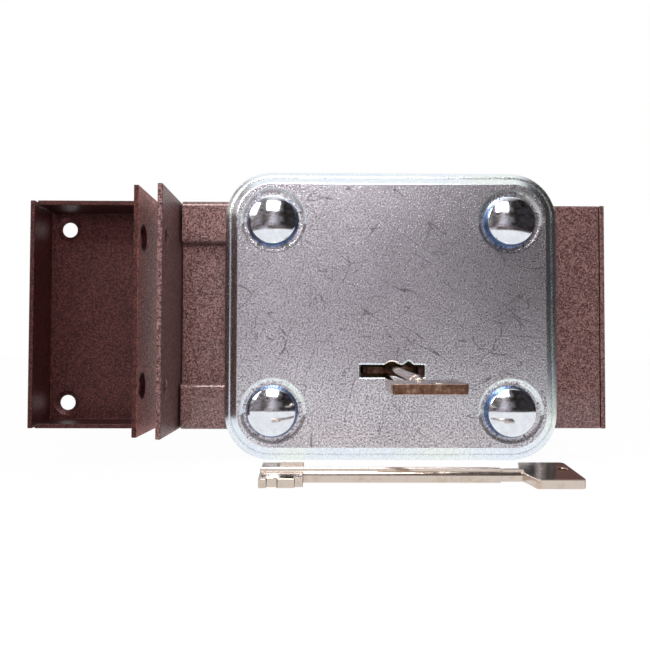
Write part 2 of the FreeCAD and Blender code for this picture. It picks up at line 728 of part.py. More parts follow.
def make_armour_plate():
    """Pressed plate with a step round its edge, a raised field and a dish at each bolt."""
    body = new_body("armour_plate_pressing")
    half_w, half_h = half_plate_x, half_plate_z
    outer = (half_w, half_h, plate_corner)
    inner = (half_w - plate_ledge, half_h - plate_ledge, plate_corner - plate_ledge)
    pad(body, "Y", -plate_step, 0, draw_rounded_plate, *outer)
    ledge = body.newObject("PartDesign::Fillet", "ledge_rounding")
    base = doc.getObject("armour_plate_pressing_pad")
    ledge.Base = (base, front_edges(base.Shape, -plate_step.value))
    ledge.Radius = ledge_radius.value
    ledge.setExpression("Radius", ledge_radius.text)
    doc.recompute()
    pad(body, "Y", -plate_rise, -plate_step, draw_rounded_plate, *inner)
    base = body.Tip
    field = body.newObject("PartDesign::Fillet", "field_rounding")
    field.Base = (base, front_edges(base.Shape, -plate_rise.value))
    field.Radius = field_radius.value
    field.setExpression("Radius", field_radius.text)
    doc.recompute()
    for limits, gap in (
        ((plate_sheet - plate_step, PAST), plate_sheet),
        ((plate_sheet - plate_rise, PAST), plate_ledge + plate_sheet),
    ):
        pocket(
            body, "Y", *limits, draw_rounded_plate,
            half_w - gap, half_h - gap, plate_corner - gap,
        )
    through = (-plate_rise - PAST, PAST)
    for x in (-bolt_x, bolt_x):
        for z in (-bolt_z, bolt_z):
            pocket(
                body, "Y", *through, draw_rectangle,
                x - bolt_hole, x + bolt_hole, z - bolt_hole, z + bolt_hole,
            )
            sink(body, "Y", -plate_rise, -plate_rise + dish_depth, x, z, dish_radius, dish_floor)
    half_length = keyhole_length / 2
    hole_x, hole_z = key_x - plate_shift, key_z - plate_shift
    pocket(
        body, "Y", *through, draw_notched_slot,
        hole_x, hole_z, half_length, keyhole_width / 2, notch_side, notch_width, notch_height,
    )
    pocket(body, "Y", *through, draw_circle, hole_x, hole_z, keyhole_round)
    place(body, plate_shift, 0, plate_shift, (0, 0, 0))
    body.Label = "armour_plate"
    return body


def front_edges(shape, y):
    """Names of the edges that lie in a plane across Y."""
    names = []
    for i, edge in enumerate(shape.Edges):
        box = edge.BoundBox
        if abs(box.YMin - y) < 1e-4 and abs(box.YMax - y) < 1e-4:
            names.append(f"Edge{i + 1}")
    return names


# Bolts that clamp plate, door leaf and case


def make_bolts():
    """Four domed bolts with a tapered smooth head and a square neck."""
    body = new_body("bolt_upper_right")

    def profile(sketch):
        tip = head_seat + bolt_length
        skirt = head_seat - head_skirt
        dome = skirt - head_dome
        places = [
            (0, tip),
            (bolt_radius - bolt_chamfer, tip),
            (bolt_radius, tip - bolt_chamfer),
            (bolt_radius, head_seat),
            (head_radius, head_seat),
            (head_top, skirt),
            (0, dome),
        ]
        places = [(size_of(x), size_of(y)) for x, y in places]
        points = [FreeCAD.Vector(x.value, y.value, 0) for x, y in places]
        count = len(points)
        rise, chord = head_dome.value, head_top.value
        dome_radius = (rise * rise + chord * chord) / (2 * rise)
        middle = points[6] + FreeCAD.Vector(0, dome_radius, 0)
        circle = Part.Circle(middle, FreeCAD.Vector(0, 0, 1), dome_radius)
        bottom = -math.pi / 2
        rim = bottom + math.asin(chord / dome_radius)
        for i in range(count):
            if i == 5:
                sketch.addGeometry(Part.ArcOfCircle(circle, bottom, rim), False)
            else:
                sketch.addGeometry(Part.LineSegment(points[i], points[(i + 1) % count]), False)
        first = [1] * count
        last = [2] * count
        first[5], last[5] = 2, 1
        for i in range(count):
            after = (i + 1) % count
            sketch.addConstraint(
                Sketcher.Constraint("Coincident", i, last[i], after, first[after])
            )
        for i, (x, y) in enumerate(places):
            pin_point(sketch, i, first[i], x, y)
        size = (head_dome * head_dome + head_top * head_top) / (head_dome * 2)
        hold(sketch, "Radius", (5,), size)

    revolve(body, "XY_Plane", 0, profile, "V_Axis")
    pad(
        body, "Y", head_seat, head_seat + neck_length, draw_rectangle,
        -bolt_radius, bolt_radius, -bolt_radius, bolt_radius,
    )
    place(body, bolt_x, 0, bolt_z, (0, 0, 0))
    return four_of(body, "carriage_bolts")


def make_washers():
    """Four washers on the back of the case."""
    body = new_body("washer_upper_right")
    high = case_depth + washer_thickness
    pad(body, "Y", case_depth, high, draw_circle, bolt_x, bolt_z, washer_radius)
    pocket(body, "Y", case_depth - PAST, high + PAST, draw_circle, bolt_x, bolt_z, bolt_hole)
    return four_of(body, "washers")


def make_nuts():
    """Four hexagon nuts on the washers."""
    body = new_body("nut_upper_right")
    low = case_depth + washer_thickness
    corner = nut_width / math.sqrt(3)
    points = []
    for i in range(6):
        angle = math.radians(60 * i)
        points.append(
            (bolt_x + corner * math.cos(angle), bolt_z + corner * math.sin(angle))
        )
    pad(body, "Y", low, low + nut_height, draw_polygon, points)
    thread = bolt_radius + pivot_play
    pocket(body, "Y", low - PAST, low + nut_height + PAST, draw_circle, bolt_x, bolt_z, thread)
    return four_of(body, "nuts")


# Deadbolt


def make_deadbolt():
    """Flat deadbolt with a rebate at the back for its tail plate."""
    body = new_body("deadbolt")
    half = deadbolt_height / 2
    pad(
        body, "Y", deadbolt_front, deadbolt_back, draw_rectangle,
        deadbolt_left, deadbolt_right, -half, half,
    )
    round_edges(
        body, deadbolt_bevel, lambda p: near(p.x, deadbolt_left), "PartDesign::Chamfer"
    )
    pocket(
        body, "Y", tail_front, deadbolt_back + PAST, draw_rectangle,
        tail_left, deadbolt_right + PAST, -half - PAST, half + PAST,
    )
    for z in rivet_heights():
        pocket(
            body, "Y", deadbolt_front - PAST, deadbolt_back + PAST, draw_circle,
            rivet_x(), z, rivet_radius,
        )
    return body


def rivet_x():
    """Middle of the lap between deadbolt and tail plate."""
    return deadbolt_right - tail_lap / 2


def rivet_heights():
    """Heights of the two tail rivets."""
    return (-(rivet_spacing / 2), rivet_spacing / 2)


def make_bolt_tail():
    """Plate that carries the stump, the guide slots and the drive notches."""
    body = new_body("bolt_tail")
    layer = (tail_front, deadbolt_back)
    cut = (tail_front - PAST, deadbolt_back + PAST)
    pad(
        body, "Y", *layer, draw_rectangle,
        tail_left, tail_right, tail_foot, key_z + tail_rise,
    )
    pad(
        body, "Y", *layer, draw_rectangle,
        -tail_skirt_left, tail_right, key_z - tail_skirt_drop, tail_foot + sheet,
    )
    pocket(
        body, "Y", *cut, draw_rectangle,
        key_x, key_x + throw, key_z - bit_sweep, key_z + bit_sweep,
    )
    for x in (key_x, key_x + throw):
        pocket(body, "Y", *cut, draw_circle, x, key_z, bit_sweep)
    for i in range(2):
        middle = key_x + talon_pitch * (i + 0.5)
        pocket(body, "Y", *cut, draw_circle, middle, key_z + bit_sweep, talon_radius)
    slots = (
        (-guide_x, guide_z, guide_radius + guide_play),
        (foot_guide_x, foot_guide_z, foot_guide_radius + guide_play),
    )
    for x, z, radius in slots:
        pocket(body, "Y", *cut, draw_rectangle, x, x + throw, z - radius, z + radius)
        for end in (x, x + throw):
            pocket(body, "Y", *cut, draw_circle, end, z, radius)
    fork = pivot_radius + guide_play
    pocket(
        body, "Y", *cut, draw_rectangle,
        pivot_x, tail_right + PAST, pivot_z - fork, pivot_z + fork,
    )
    pocket(body, "Y", *cut, draw_circle, pivot_x, pivot_z, fork)
    pocket(body, "Y", *cut, draw_circle, stump_x, stump_z, stump_radius)
    for z in rivet_heights():
        pocket(body, "Y", *cut, draw_circle, rivet_x(), z, rivet_radius)
    return body


def make_stump():
    """Pin on the tail plate that the levers hold."""
    body = new_body("bolt_stump")
    pad(body, "Y", lever_front, deadbolt_back, draw_circle, stump_x, stump_z, stump_radius)
    return body


def make_tail_rivets():
    """Two rivets that join the tail plate to the deadbolt."""
    body = new_body("tail_rivets")
    for z in rivet_heights():
        pad(body, "Y", deadbolt_front, deadbolt_back, draw_circle, rivet_x(), z, rivet_radius)
    return body


# Levers


def make_lever(number):
    """One lever: a beam with its gate, a ring round the key window and a pivot boss."""
    body = new_body(f"lever_{number}")
    low = lever_front + lever_pitch * (number - 1)
    high = low + lever_sheet
    cut = (low - PAST, high + PAST)
    foot = key_z + window_radius + lever_land
    pad(body, "Y", low, high, draw_rectangle, -lever_left, pivot_x, foot, lever_top)
    pad(body, "Y", low, high, draw_circle, pivot_x, pivot_z, lever_boss)
    pad(body, "Y", low, high, draw_circle, key_x, key_z, window_radius + lever_rim)
    pocket(body, "Y", *cut, draw_circle, key_x, key_z, window_radius)
    pocket(body, "Y", *cut, draw_circle, pivot_x, pivot_z, pivot_radius + pivot_play)
    gate = stump_radius + gate_play
    pocket(
        body, "Y", *cut, draw_rectangle,
        stump_x - throw - gate, stump_x + gate, stump_z - gate, stump_z + gate,
    )
    for x in (stump_x, stump_x - throw):
        drop = (pivot_x - x) * sin_deg(lever_lift) + gate
        pocket(
            body, "Y", *cut, draw_rectangle,
            x - gate - gate_swing, x + gate, stump_z - drop, stump_z,
        )
    return body


def make_lever_spring(number):
    """Leaf spring from the spring block to the top edge of its lever."""
    body = new_body(f"lever_spring_{number}")
    low = lever_front + lever_pitch * (number - 1)
    seat = lever_top + spring_seat
    root = key_z + spring_root
    outline = [
        (spring_tip, seat),
        (spring_block_left, root),
        (spring_block_left, root + spring_sheet),
        (spring_tip, seat + spring_sheet),
    ]
    pad(body, "Y", low, low + lever_sheet * spring_share, draw_polygon, outline)
    return body


def make_spring_block():
    """Block between cover and back plate that holds the leaf springs."""
    body = new_body("spring_block")
    pad(
        body, "Y", cover_back, inner_back, draw_rectangle,
        spring_block_left, spring_block_left + spring_block_width,
        key_z + spring_block_foot, key_z + spring_block_top,
    )
    return body


def make_post(label, x, z, radius):
    """Post between cover and back plate with riveted ends."""
    body = new_body(label)
    pad(body, "Y", cover_back, inner_back, draw_circle, x, z, radius)
    pad(body, "Y", rail_height, cover_back, draw_circle, x, z, post_end)
    pad(body, "Y", inner_back, case_depth, draw_circle, x, z, post_end)
    return body


# Key and key drum


def make_key_drum():
    """Drum in the back plate with a socket for the end of the bits."""
    body = new_body("key_drum")
    disc_back = inner_back - drum_play
    cut = (drum_front - PAST, disc_back + PAST)
    pad(body, "Y", drum_front, disc_back, draw_circle, key_x, key_z, drum_radius)
    half_length = bit_reach + socket_play
    half_width = bit_thickness / 2 + socket_play
    pocket(
        body, "Y", *cut, draw_rectangle,
        key_x - half_length, key_x + half_length, key_z - half_width, key_z + half_width,
    )
    pocket(body, "Y", *cut, draw_circle, key_x, key_z, shank_radius + socket_play)
    pad(body, "Y", disc_back, case_depth, draw_circle, key_x, key_z, journal_radius)
    return body


def make_key(label):
    """Double bit key along Y: its tip is at zero and its bow points to the front."""
    body = new_body(label)
    pad(body, "Y", -shank_length, 0, draw_circle, 0, 0, shank_radius)
    half = bit_thickness / 2
    pad(body, "Y", -bit_length, 0, draw_rectangle, -bit_reach, bit_reach, -half, half)
    rib = [
        (notch_side - rib_width / 2, half - rib_root),
        (notch_side + rib_width / 2, half - rib_root),
        (notch_side, half + rib_height),
    ]
    pad(body, "Y", -bit_length, lever_pitch * lever_count - bit_length, draw_polygon, rib)
    pad(body, "Y", -neck_end - PAST, -shank_length, draw_circle, 0, 0, neck_radius)
    half_bow = bow_width / 2
    shoulder = -neck_end - bow_shoulder
    outline = [
        (-neck_radius, -neck_end),
        (-half_bow, shoulder),
        (-half_bow, -key_length),
        (half_bow, -key_length),
        (half_bow, shoulder),
        (neck_radius, -neck_end),
    ]
    pad(body, "Z", -(bow_thickness / 2), bow_thickness / 2, draw_polygon, outline)
    for end in (-half_bow, half_bow):
        for level, radius in ((-key_length, bow_corner), (shoulder, shoulder_corner)):
            round_edges(
                body, radius,
                lambda p, end=end, level=level: near(p.y, level) and near(p.x, end),
            )
    pocket(
        body, "Z", -bow_thickness, bow_thickness, draw_circle,
        bow_hole_side, bow_hole_in - key_length, bow_hole,
    )
    cut_bitting(body)
    return body


def cut_bitting(body):
    """Steps in the two bits, one for each lever, and a recess by the tail plate."""
    steps = {1: (0.6, 0.6, 2.6, 2.6, 2.6, 2.6), -1: (1.6, 1.6, 0.3, 0.3, 0.3, 0.3)}
    for side, depths in steps.items():
        for i, depth in enumerate(depths):
            start = lever_pitch * i - bit_length
            cut_bit(body, side, depth, start, start + lever_pitch)
    cut_bit(body, -1, bit_recess, tail_front - lever_gap - key_tip, drum_front - lever_gap - key_tip)


def cut_bit(body, side, depth, low, high):
    """Shortens one bit by a depth between two values along the key."""
    inner = (bit_reach - depth) * side
    outer = (bit_reach + PAST) * side
    ends = (inner, outer) if side > 0 else (outer, inner)
    pocket(body, "Z", -bit_thickness, bit_thickness, draw_rectangle, *ends, low, high)


def place(body, x, y, z, turns):
    """Puts a finished body at its place, tied to the sheet. The turns, in degrees, are
    about X, then Y, then Z."""
    x, y, z = size_of(x), size_of(y), size_of(z)
    roll, pitch, yaw = (size_of(turn) for turn in turns)
    rotation = FreeCAD.Rotation(yaw.value, pitch.value, roll.value)
    body.Placement = FreeCAD.Placement(FreeCAD.Vector(x.value, y.value, z.value), rotation)
    base = f"vector({x.text}; {y.text}; {z.text})"
    angles = f"rotation({yaw.text} * 1 deg; {pitch.text} * 1 deg; {roll.text} * 1 deg)"
    body.setExpression("Placement", f"placement({base}; {angles})")
    doc.recompute()


# Build

nodes = [
    make_base_frame(),
    make_front_cover(),
    make_rail("upper_rail", case_top - upper_rail_width, case_top),
    make_rail("lower_rail", case_bottom, case_bottom + lower_rail_width),
    make_keeper_box(),
    make_armour_plate(),
    make_bolts(),
    make_washers(),
    make_nuts(),
    make_deadbolt(),
    make_bolt_tail(),
    make_stump(),
    make_tail_rivets(),
    make_spring_block(),
    make_post("lever_post", pivot_x, pivot_z, pivot_radius),
    make_post("upper_guide_post", -guide_x, guide_z, guide_radius),
    make_post("lower_guide_post", foot_guide_x, foot_guide_z, foot_guide_radius),
    make_key_drum(),
]
for number in range(1, lever_count + 1):
    nodes.append(make_lever(number))
    nodes.append(make_lever_spring(number))
key = make_key("key")
place(key, key_x - tip_left, key_tip, key_z + tip_above, (key_droop, 0, key_swing))
spare = make_key("spare_key")
place(spare, -spare_left, -spare_front, ground + spare_rise, (0, -spare_tilt, 90))
nodes += [key, spare]

# Checks and export

doc.recompute()
for item in doc.Objects:
    if "Invalid" in item.State or "Error" in item.State:
        raise ValueError(f"{item.Label} failed to compute")
os.makedirs(OUT, exist_ok=True)
for node in nodes:
    shape = node.Shape
    if shape.isNull() or not shape.isValid():
        raise ValueError(f"{node.Label} has no valid shape")
    shape.exportStep(os.path.join(OUT, f"{node.Label}.step"))
    print(f"{node.Label}: {len(shape.Solids)} solids, {shape.Volume:.0f} mm3")
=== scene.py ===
import math

import bmesh
import bpy
import numpy as np
from mathutils import Matrix, Vector


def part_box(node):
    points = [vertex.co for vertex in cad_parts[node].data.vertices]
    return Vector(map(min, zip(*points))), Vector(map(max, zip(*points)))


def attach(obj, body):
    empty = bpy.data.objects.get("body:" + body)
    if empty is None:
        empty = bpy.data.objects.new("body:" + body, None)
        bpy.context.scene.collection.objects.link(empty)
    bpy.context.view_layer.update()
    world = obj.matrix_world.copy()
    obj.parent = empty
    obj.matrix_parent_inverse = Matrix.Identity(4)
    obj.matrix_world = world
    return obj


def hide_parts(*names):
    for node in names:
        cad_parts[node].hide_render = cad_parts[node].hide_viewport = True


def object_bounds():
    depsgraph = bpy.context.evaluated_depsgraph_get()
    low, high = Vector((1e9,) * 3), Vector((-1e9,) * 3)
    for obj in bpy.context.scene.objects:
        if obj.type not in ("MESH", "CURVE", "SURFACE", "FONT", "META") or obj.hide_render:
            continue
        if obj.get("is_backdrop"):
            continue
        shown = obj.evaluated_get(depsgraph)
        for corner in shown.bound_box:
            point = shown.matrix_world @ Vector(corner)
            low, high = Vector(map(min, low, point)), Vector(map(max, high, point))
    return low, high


bl_info = {
    "name": "Garage door lock",
    "version": (1, 0, 0),
    "blender": (4, 5, 0),
    "location": "3D View > Sidebar > Lock",
    "description": "Finishes the lock, its keeper box, armour plate, bolts and keys",
    "category": "Object",
}

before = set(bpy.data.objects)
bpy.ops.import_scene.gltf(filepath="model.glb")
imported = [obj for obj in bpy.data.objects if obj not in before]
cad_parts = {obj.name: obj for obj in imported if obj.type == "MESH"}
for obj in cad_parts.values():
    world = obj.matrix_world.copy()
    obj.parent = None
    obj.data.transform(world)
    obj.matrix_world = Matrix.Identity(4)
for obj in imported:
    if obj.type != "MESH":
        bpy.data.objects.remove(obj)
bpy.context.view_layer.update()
MM = 0.001


# Settings


class LockFinish(bpy.types.PropertyGroup):
    """Sizes and colours of the lock's finishes."""

    edge_round: bpy.props.FloatProperty(
        name="Sheet edge rounding",
        description="Width of the rounding on the cut edges of the folded sheets",
        default=0.35 * MM, unit="LENGTH",
    )
    paint_dark: bpy.props.FloatVectorProperty(
        name="Hammer paint, hollows",
        description="Brown between the flakes of the hammer finish",
        default=(0.055, 0.014, 0.012), subtype="COLOR",
    )
    paint_light: bpy.props.FloatVectorProperty(
        name="Hammer paint, flakes",
        description="Lighter brown of the flakes in the hammer finish",
        default=(0.42, 0.24, 0.23), subtype="COLOR",
    )
    flake_size: bpy.props.FloatProperty(
        name="Flake size",
        description="Width of one flake of the hammer finish",
        default=0.8 * MM, unit="LENGTH",
    )
    # Painted shade: this tint darkens the keeper box's paint to stand for the shade inside its
    # hollow
    keeper_shade_tone: bpy.props.FloatVectorProperty(
        name="Keeper tone", description="Tint of the keeper box, which was painted darker",
        default=(0.34, 0.19, 0.18), subtype="COLOR",
    )
    zinc_colour: bpy.props.FloatVectorProperty(
        name="Zinc field", description="Colour of the zinc on the plate's field",
        default=(0.95, 0.92, 0.99), subtype="COLOR",
    )
    rim_colour: bpy.props.FloatVectorProperty(
        name="Zinc steps", description="Colour of the zinc on the plate's steps",
        default=(0.93, 0.95, 0.99), subtype="COLOR",
    )
    grain_size: bpy.props.FloatProperty(
        name="Zinc grain", description="Width of one grain of the zinc plating",
        default=0.85 * MM, unit="LENGTH",
    )
    blue_colour: bpy.props.FloatVectorProperty(
        name="Blue passivation", description="Colour of the skirts of the bolt heads",
        default=(0.14, 0.24, 0.45), subtype="COLOR",
    )
    nickel_colour: bpy.props.FloatVectorProperty(
        name="Nickel", description="Colour of the nickel plated keys",
        default=(0.62, 0.535, 0.47), subtype="COLOR",
    )
    thread_pitch: bpy.props.FloatProperty(
        name="Thread pitch", description="Pitch of the threads on the bolts",
        default=1.5 * MM, unit="LENGTH",
    )
    thread_length: bpy.props.FloatProperty(
        name="Thread length", description="Length of the threads on the bolts",
        default=46 * MM, unit="LENGTH",
    )


class LockView(bpy.types.PropertyGroup):
    """Place of the camera, fitted to points measured in the photograph."""

    place: bpy.props.FloatVectorProperty(
        name="Camera place", description="Where the camera stands",
        default=(-34.52 * MM, -342.39 * MM, -14.12 * MM), subtype="XYZ", unit="LENGTH",
    )
    turn: bpy.props.FloatProperty(
        name="Camera turn", description="How far the camera turns to the right of +Y",
        default=math.radians(0.61), subtype="ANGLE",
    )
    rise: bpy.props.FloatProperty(
        name="Camera rise", description="How far the camera looks up from +Y",
        default=math.radians(1.69), subtype="ANGLE",
    )
    roll: bpy.props.FloatProperty(
        name="Camera roll", description="How far the picture is turned clockwise",
        default=math.radians(-0.18), subtype="ANGLE",
    )
    focal_pixels: bpy.props.FloatProperty(
        name="Focal length in pixels", description="Focal length for a picture 650 pixels wide",
        default=722.0,
    )


# Node helpers


def new_material(name):
    """A material with its nodes, its links and its Principled shader."""
    material = bpy.data.materials.new(name)
    material.use_nodes = True
    nodes = material.node_tree.nodes
    links = material.node_tree.links
    shader = next(n for n in nodes if n.type == "BSDF_PRINCIPLED")
    return material, nodes, links, shader


def plug(links, value, socket):
    """Links a socket to another, or sets it to a fixed value."""
    if isinstance(value, bpy.types.NodeSocket):
        links.new(value, socket)
    else:
        socket.default_value = value


def ramp(nodes, links, source, stops):
    """Colour of a ramp over a source socket, with (place, colour) stops."""
    node = nodes.new("ShaderNodeValToRGB")
    elements = node.color_ramp.elements
    while len(elements) < len(stops):
        elements.new(0.5)
    for element, (place, colour) in zip(elements, stops):
        element.position = place
        if not hasattr(colour, "__len__"):
            colour = (colour, colour, colour)
        element.color = (*colour[:3], 1)
    links.new(source, node.inputs["Fac"])
    return node.outputs["Color"]


def object_coords(nodes, links, scale=(1, 1, 1), rotation=(0, 0, 0), location=(0, 0, 0)):
    """Object coordinates less a location, turned back by a rotation and then scaled."""
    coords = nodes.new("ShaderNodeTexCoord")
    mapping = nodes.new("ShaderNodeMapping")
    mapping.vector_type = "TEXTURE"
    mapping.inputs["Location"].default_value = location
    mapping.inputs["Scale"].default_value = [1 / factor for factor in scale]
    mapping.inputs["Rotation"].default_value = rotation
    links.new(coords.outputs["Object"], mapping.inputs["Vector"])
    return mapping.outputs["Vector"]


def mix_colour(nodes, links, factor, first, second, blend="MIX"):
    """Mixes two colours. The factor is a socket or a number, and each colour is a socket, a
    colour or a grey level."""
    node = nodes.new("ShaderNodeMix")
    node.data_type = "RGBA"
    node.blend_type = blend
    plug(links, factor, node.inputs[0])
    for index, value in ((6, first), (7, second)):
        if not isinstance(value, bpy.types.NodeSocket):
            value = (*value[:3], 1) if hasattr(value, "__len__") else (value, value, value, 1)
        plug(links, value, node.inputs[index])
    return node.outputs[2]


def multiplied(nodes, links, first, second, factor=1.0):
    """Product of two colours, mixed over the first by a factor."""
    return mix_colour(nodes, links, factor, first, second, "MULTIPLY")


def calculated(nodes, links, operation, *values):
    """Result of a Math node on sockets and numbers."""
    node = nodes.new("ShaderNodeMath")
    node.operation = operation
    for value, socket in zip(values, node.inputs):
        plug(links, value, socket)
    return node.outputs[0]


def bump(nodes, links, shader, height, distance, strength):
    """Bumps the shader's normal by a height socket."""
    node = nodes.new("ShaderNodeBump")
    node.inputs["Strength"].default_value = strength
    node.inputs["Distance"].default_value = distance
    links.new(height, node.inputs["Height"])
    links.new(node.outputs["Normal"], shader.inputs["Normal"])


def voronoi(nodes, links, vector, scale):
    """Voronoi cells of a given density, as a node."""
    node = nodes.new("ShaderNodeTexVoronoi")
    node.inputs["Scale"].default_value = scale
    links.new(vector, node.inputs["Vector"])
    return node


def noise(nodes, links, vector, scale, detail=3.0, roughness=0.5, distortion=0.0):
    """Level of a fractal noise."""
    node = nodes.new("ShaderNodeTexNoise")
    node.inputs["Scale"].default_value = scale
    node.inputs["Detail"].default_value = detail
    node.inputs["Roughness"].default_value = roughness
    node.inputs["Distortion"].default_value = distortion
    links.new(vector, node.inputs["Vector"])
    return node.outputs["Fac"]


# Materials


# Level of the noise and tone there, for slow cloudy changes
CLOUDY = ((0.3, 0.86), (0.7, 1.0))
# Turn about Y in radians, density along and density across of each layer of scratches
SCRATCH_LAYERS = (
    (0.25, 14, 75), (1.1, 12, 60), (1.75, 17, 70), (2.5, 13, 80), (0.7, 19, 66), (2.1, 11, 72),
)
SCRATCH_COLOUR = (0.13, 0.12, 0.13)
FIELD_SPECK, RIM_SPECK = (0.05, 0.045, 0.05), (0.2, 0.18, 0.18)
WORN_PATCH = (0.50, 0.37, 0.27)


def hammer_paint(name, finish, tone=(1, 1, 1), coat=0.0, gleam=0.3):
    """Brown hammer finish: metallic flakes of mixed brightness with dark hollows between."""
    material, nodes, links, shader = new_material(name)
    vector = object_coords(nodes, links)
    cells = voronoi(nodes, links, vector, 1 / finish.flake_size)
    grain = noise(nodes, links, vector, 1.3 / finish.flake_size, 2.0, 0.6)
    flakes = calculated(nodes, links, "MULTIPLY_ADD", cells.outputs["Color"], 0.35, grain)
    level = ramp(nodes, links, flakes, [(0.5, 0.0), (0.66, 0.35), (0.86, 1.0)])
    colour = mix_colour(nodes, links, level, finish.paint_dark, finish.paint_light)
    cloud = ramp(nodes, links, noise(nodes, links, vector, 70, 3.0, 0.6), CLOUDY)
    colour = multiplied(nodes, links, multiplied(nodes, links, colour, cloud), tone)
    links.new(colour, shader.inputs["Base Color"])
    metal = ramp(nodes, links, flakes, [(0.5, 0.15), (0.86, 0.5)])
    links.new(metal, shader.inputs["Metallic"])
    shader.inputs["Roughness"].default_value = 0.42
    shader.inputs["Specular IOR Level"].default_value = gleam
    shader.inputs["Coat Weight"].default_value = coat
    shader.inputs["Coat Roughness"].default_value = 0.08
    bump(nodes, links, shader, level, 0.06 * MM, 0.6)
    return material


def zinc_grain(nodes, links, shader, finish, depth):
    """Grain of the zinc: small tilts that catch the surroundings, and a little in tone."""
    fine = noise(nodes, links, object_coords(nodes, links), 1 / finish.grain_size, 3.0, 0.7)
    rough = ramp(nodes, links, fine, [(0.4, 0.32), (0.6, 0.22)])
    links.new(rough, shader.inputs["Roughness"])
    shader.inputs["Metallic"].default_value = 1.0
    bump(nodes, links, shader, fine, depth, 1.0)
    return ramp(nodes, links, fine, [(0.34, 0.22), (0.56, 1.0)])


def zinc_field(name, finish, tone=1.0):
    """Grained zinc on the plate's field, with cloudy patches, specks and hair scratches."""
    material, nodes, links, shader = new_material(name)
    grain = zinc_grain(nodes, links, shader, finish, 0.11 * MM)
    cloud = noise(nodes, links, object_coords(nodes, links), 45, 4.0, 0.6)
    zinc = [tone * part for part in finish.zinc_colour]
    colour = multiplied(nodes, links, zinc, grain)
    colour = multiplied(nodes, links, colour, ramp(nodes, links, cloud, CLOUDY))
    colour = mix_colour(nodes, links, hair_scratches(nodes, links), colour, SCRATCH_COLOUR)
    colour = mix_colour(nodes, links, specks(nodes, links), colour, FIELD_SPECK)
    links.new(colour, shader.inputs["Base Color"])
    return material


def zinc_rim(finish):
    """Zinc on the plate's pressed steps and dishes, with bluish and cream patches."""
    material, nodes, links, shader = new_material("zinc_rim")
    grain = zinc_grain(nodes, links, shader, finish, 0.03 * MM)
    patches = noise(nodes, links, object_coords(nodes, links), 28, 3.0, 0.55)
    tint = ramp(nodes, links, patches, [
        (0.38, (0.95, 1.0, 0.93)), (0.55, (0.93, 0.97, 1.0)), (0.7, (0.88, 0.94, 1.0)),
    ])
    colour = multiplied(nodes, links, finish.rim_colour, tint)
    colour = multiplied(nodes, links, colour, grain, 0.25)
    colour = mix_colour(nodes, links, specks(nodes, links), colour, RIM_SPECK)
    links.new(colour, shader.inputs["Base Color"])
    return material


def hair_scratches(nodes, links):
    """Mask of thin bent lines: level lines of stretched noise, broken up by finer noise."""
    mask = None
    for number, (turn, along, across) in enumerate(SCRATCH_LAYERS):
        place = (0.31 * number, 0, 0.17 * number)
        vector = object_coords(nodes, links, (across, across, along), (0, turn, 0), place)
        height = noise(nodes, links, vector, 1.0, 1.5, 0.5, 0.25)
        line = ramp(nodes, links, height, [(0.497, 0.0), (0.5, 1.0), (0.503, 0.0)])
        gaps = ramp(nodes, links, noise(nodes, links, vector, 3.3, 1.0), [(0.5, 0.0), (0.54, 0.75)])
        layer = multiplied(nodes, links, line, gaps)
        mask = layer if mask is None else mix_colour(nodes, links, 1.0, mask, layer, "LIGHTEN")
    return mask


def specks(nodes, links):
    """Mask of small dark specks: the middles of a few cells."""
    cells = voronoi(nodes, links, object_coords(nodes, links), 75)
    spot = ramp(nodes, links, cells.outputs["Distance"], [(0.02, 1.0), (0.04, 0.0)])
    chosen = ramp(nodes, links, cells.outputs["Color"], [(0.62, 0.0), (0.64, 1.0)])
    return multiplied(nodes, links, spot, chosen)


def polished_zinc(name, colour, roughness):
    """Bright zinc on the bolts, washers and nuts, with faint handling marks."""
    material, nodes, links, shader = new_material(name)
    marks = noise(nodes, links, object_coords(nodes, links), 350, 3.0, 0.6)
    tone = ramp(nodes, links, marks, [(0.35, 0.9), (0.65, 1.0)])
    links.new(multiplied(nodes, links, colour, tone), shader.inputs["Base Color"])
    rough = ramp(nodes, links, marks, [(0.35, roughness * 1.5), (0.65, roughness)])
    links.new(rough, shader.inputs["Roughness"])
    shader.inputs["Metallic"].default_value = 1.0
    bump(nodes, links, shader, marks, 0.02 * MM, 0.25)
    return material


def nickel(finish):
    """Nickel plated key, slightly rough and with a few worn bronze patches."""
    material, nodes, links, shader = new_material("nickel_plating")
    vector = object_coords(nodes, links)
    wear = noise(nodes, links, vector, 260, 4.0, 0.65)
    patch = ramp(nodes, links, wear, [(0.5, 0.0), (0.72, 0.6)])
    colour = mix_colour(nodes, links, patch, finish.nickel_colour, WORN_PATCH)
    links.new(colour, shader.inputs["Base Color"])
    shader.inputs["Metallic"].default_value = 1.0
    rough = ramp(nodes, links, wear, [(0.3, 0.10), (0.7, 0.20)])
    links.new(rough, shader.inputs["Roughness"])
    bump(nodes, links, shader, noise(nodes, links, vector, 1300, 3.0, 0.6), 0.03 * MM, 0.3)
    return material


def bronze():
    """Bare metal of a key's cut end faces, stained in patches. Its dark browns are partly painted
    shade and a painted dim reflection, for end faces that face the dim room or lie deep in the
    keyhole.
    """
    material, nodes, links, shader = new_material("cut_bronze_and_shade")
    stain = noise(nodes, links, object_coords(nodes, links), 420, 4.0, 0.65)
    colour = ramp(nodes, links, stain, [
        (0.35, (0.10, 0.05, 0.033)), (0.55, (0.22, 0.12, 0.08)), (0.7, (0.42, 0.28, 0.19)),
    ])
    links.new(colour, shader.inputs["Base Color"])
    shader.inputs["Metallic"].default_value = 0.9
    shader.inputs["Roughness"].default_value = 0.38
    bump(nodes, links, shader, stain, 0.05 * MM, 0.5)
    return material


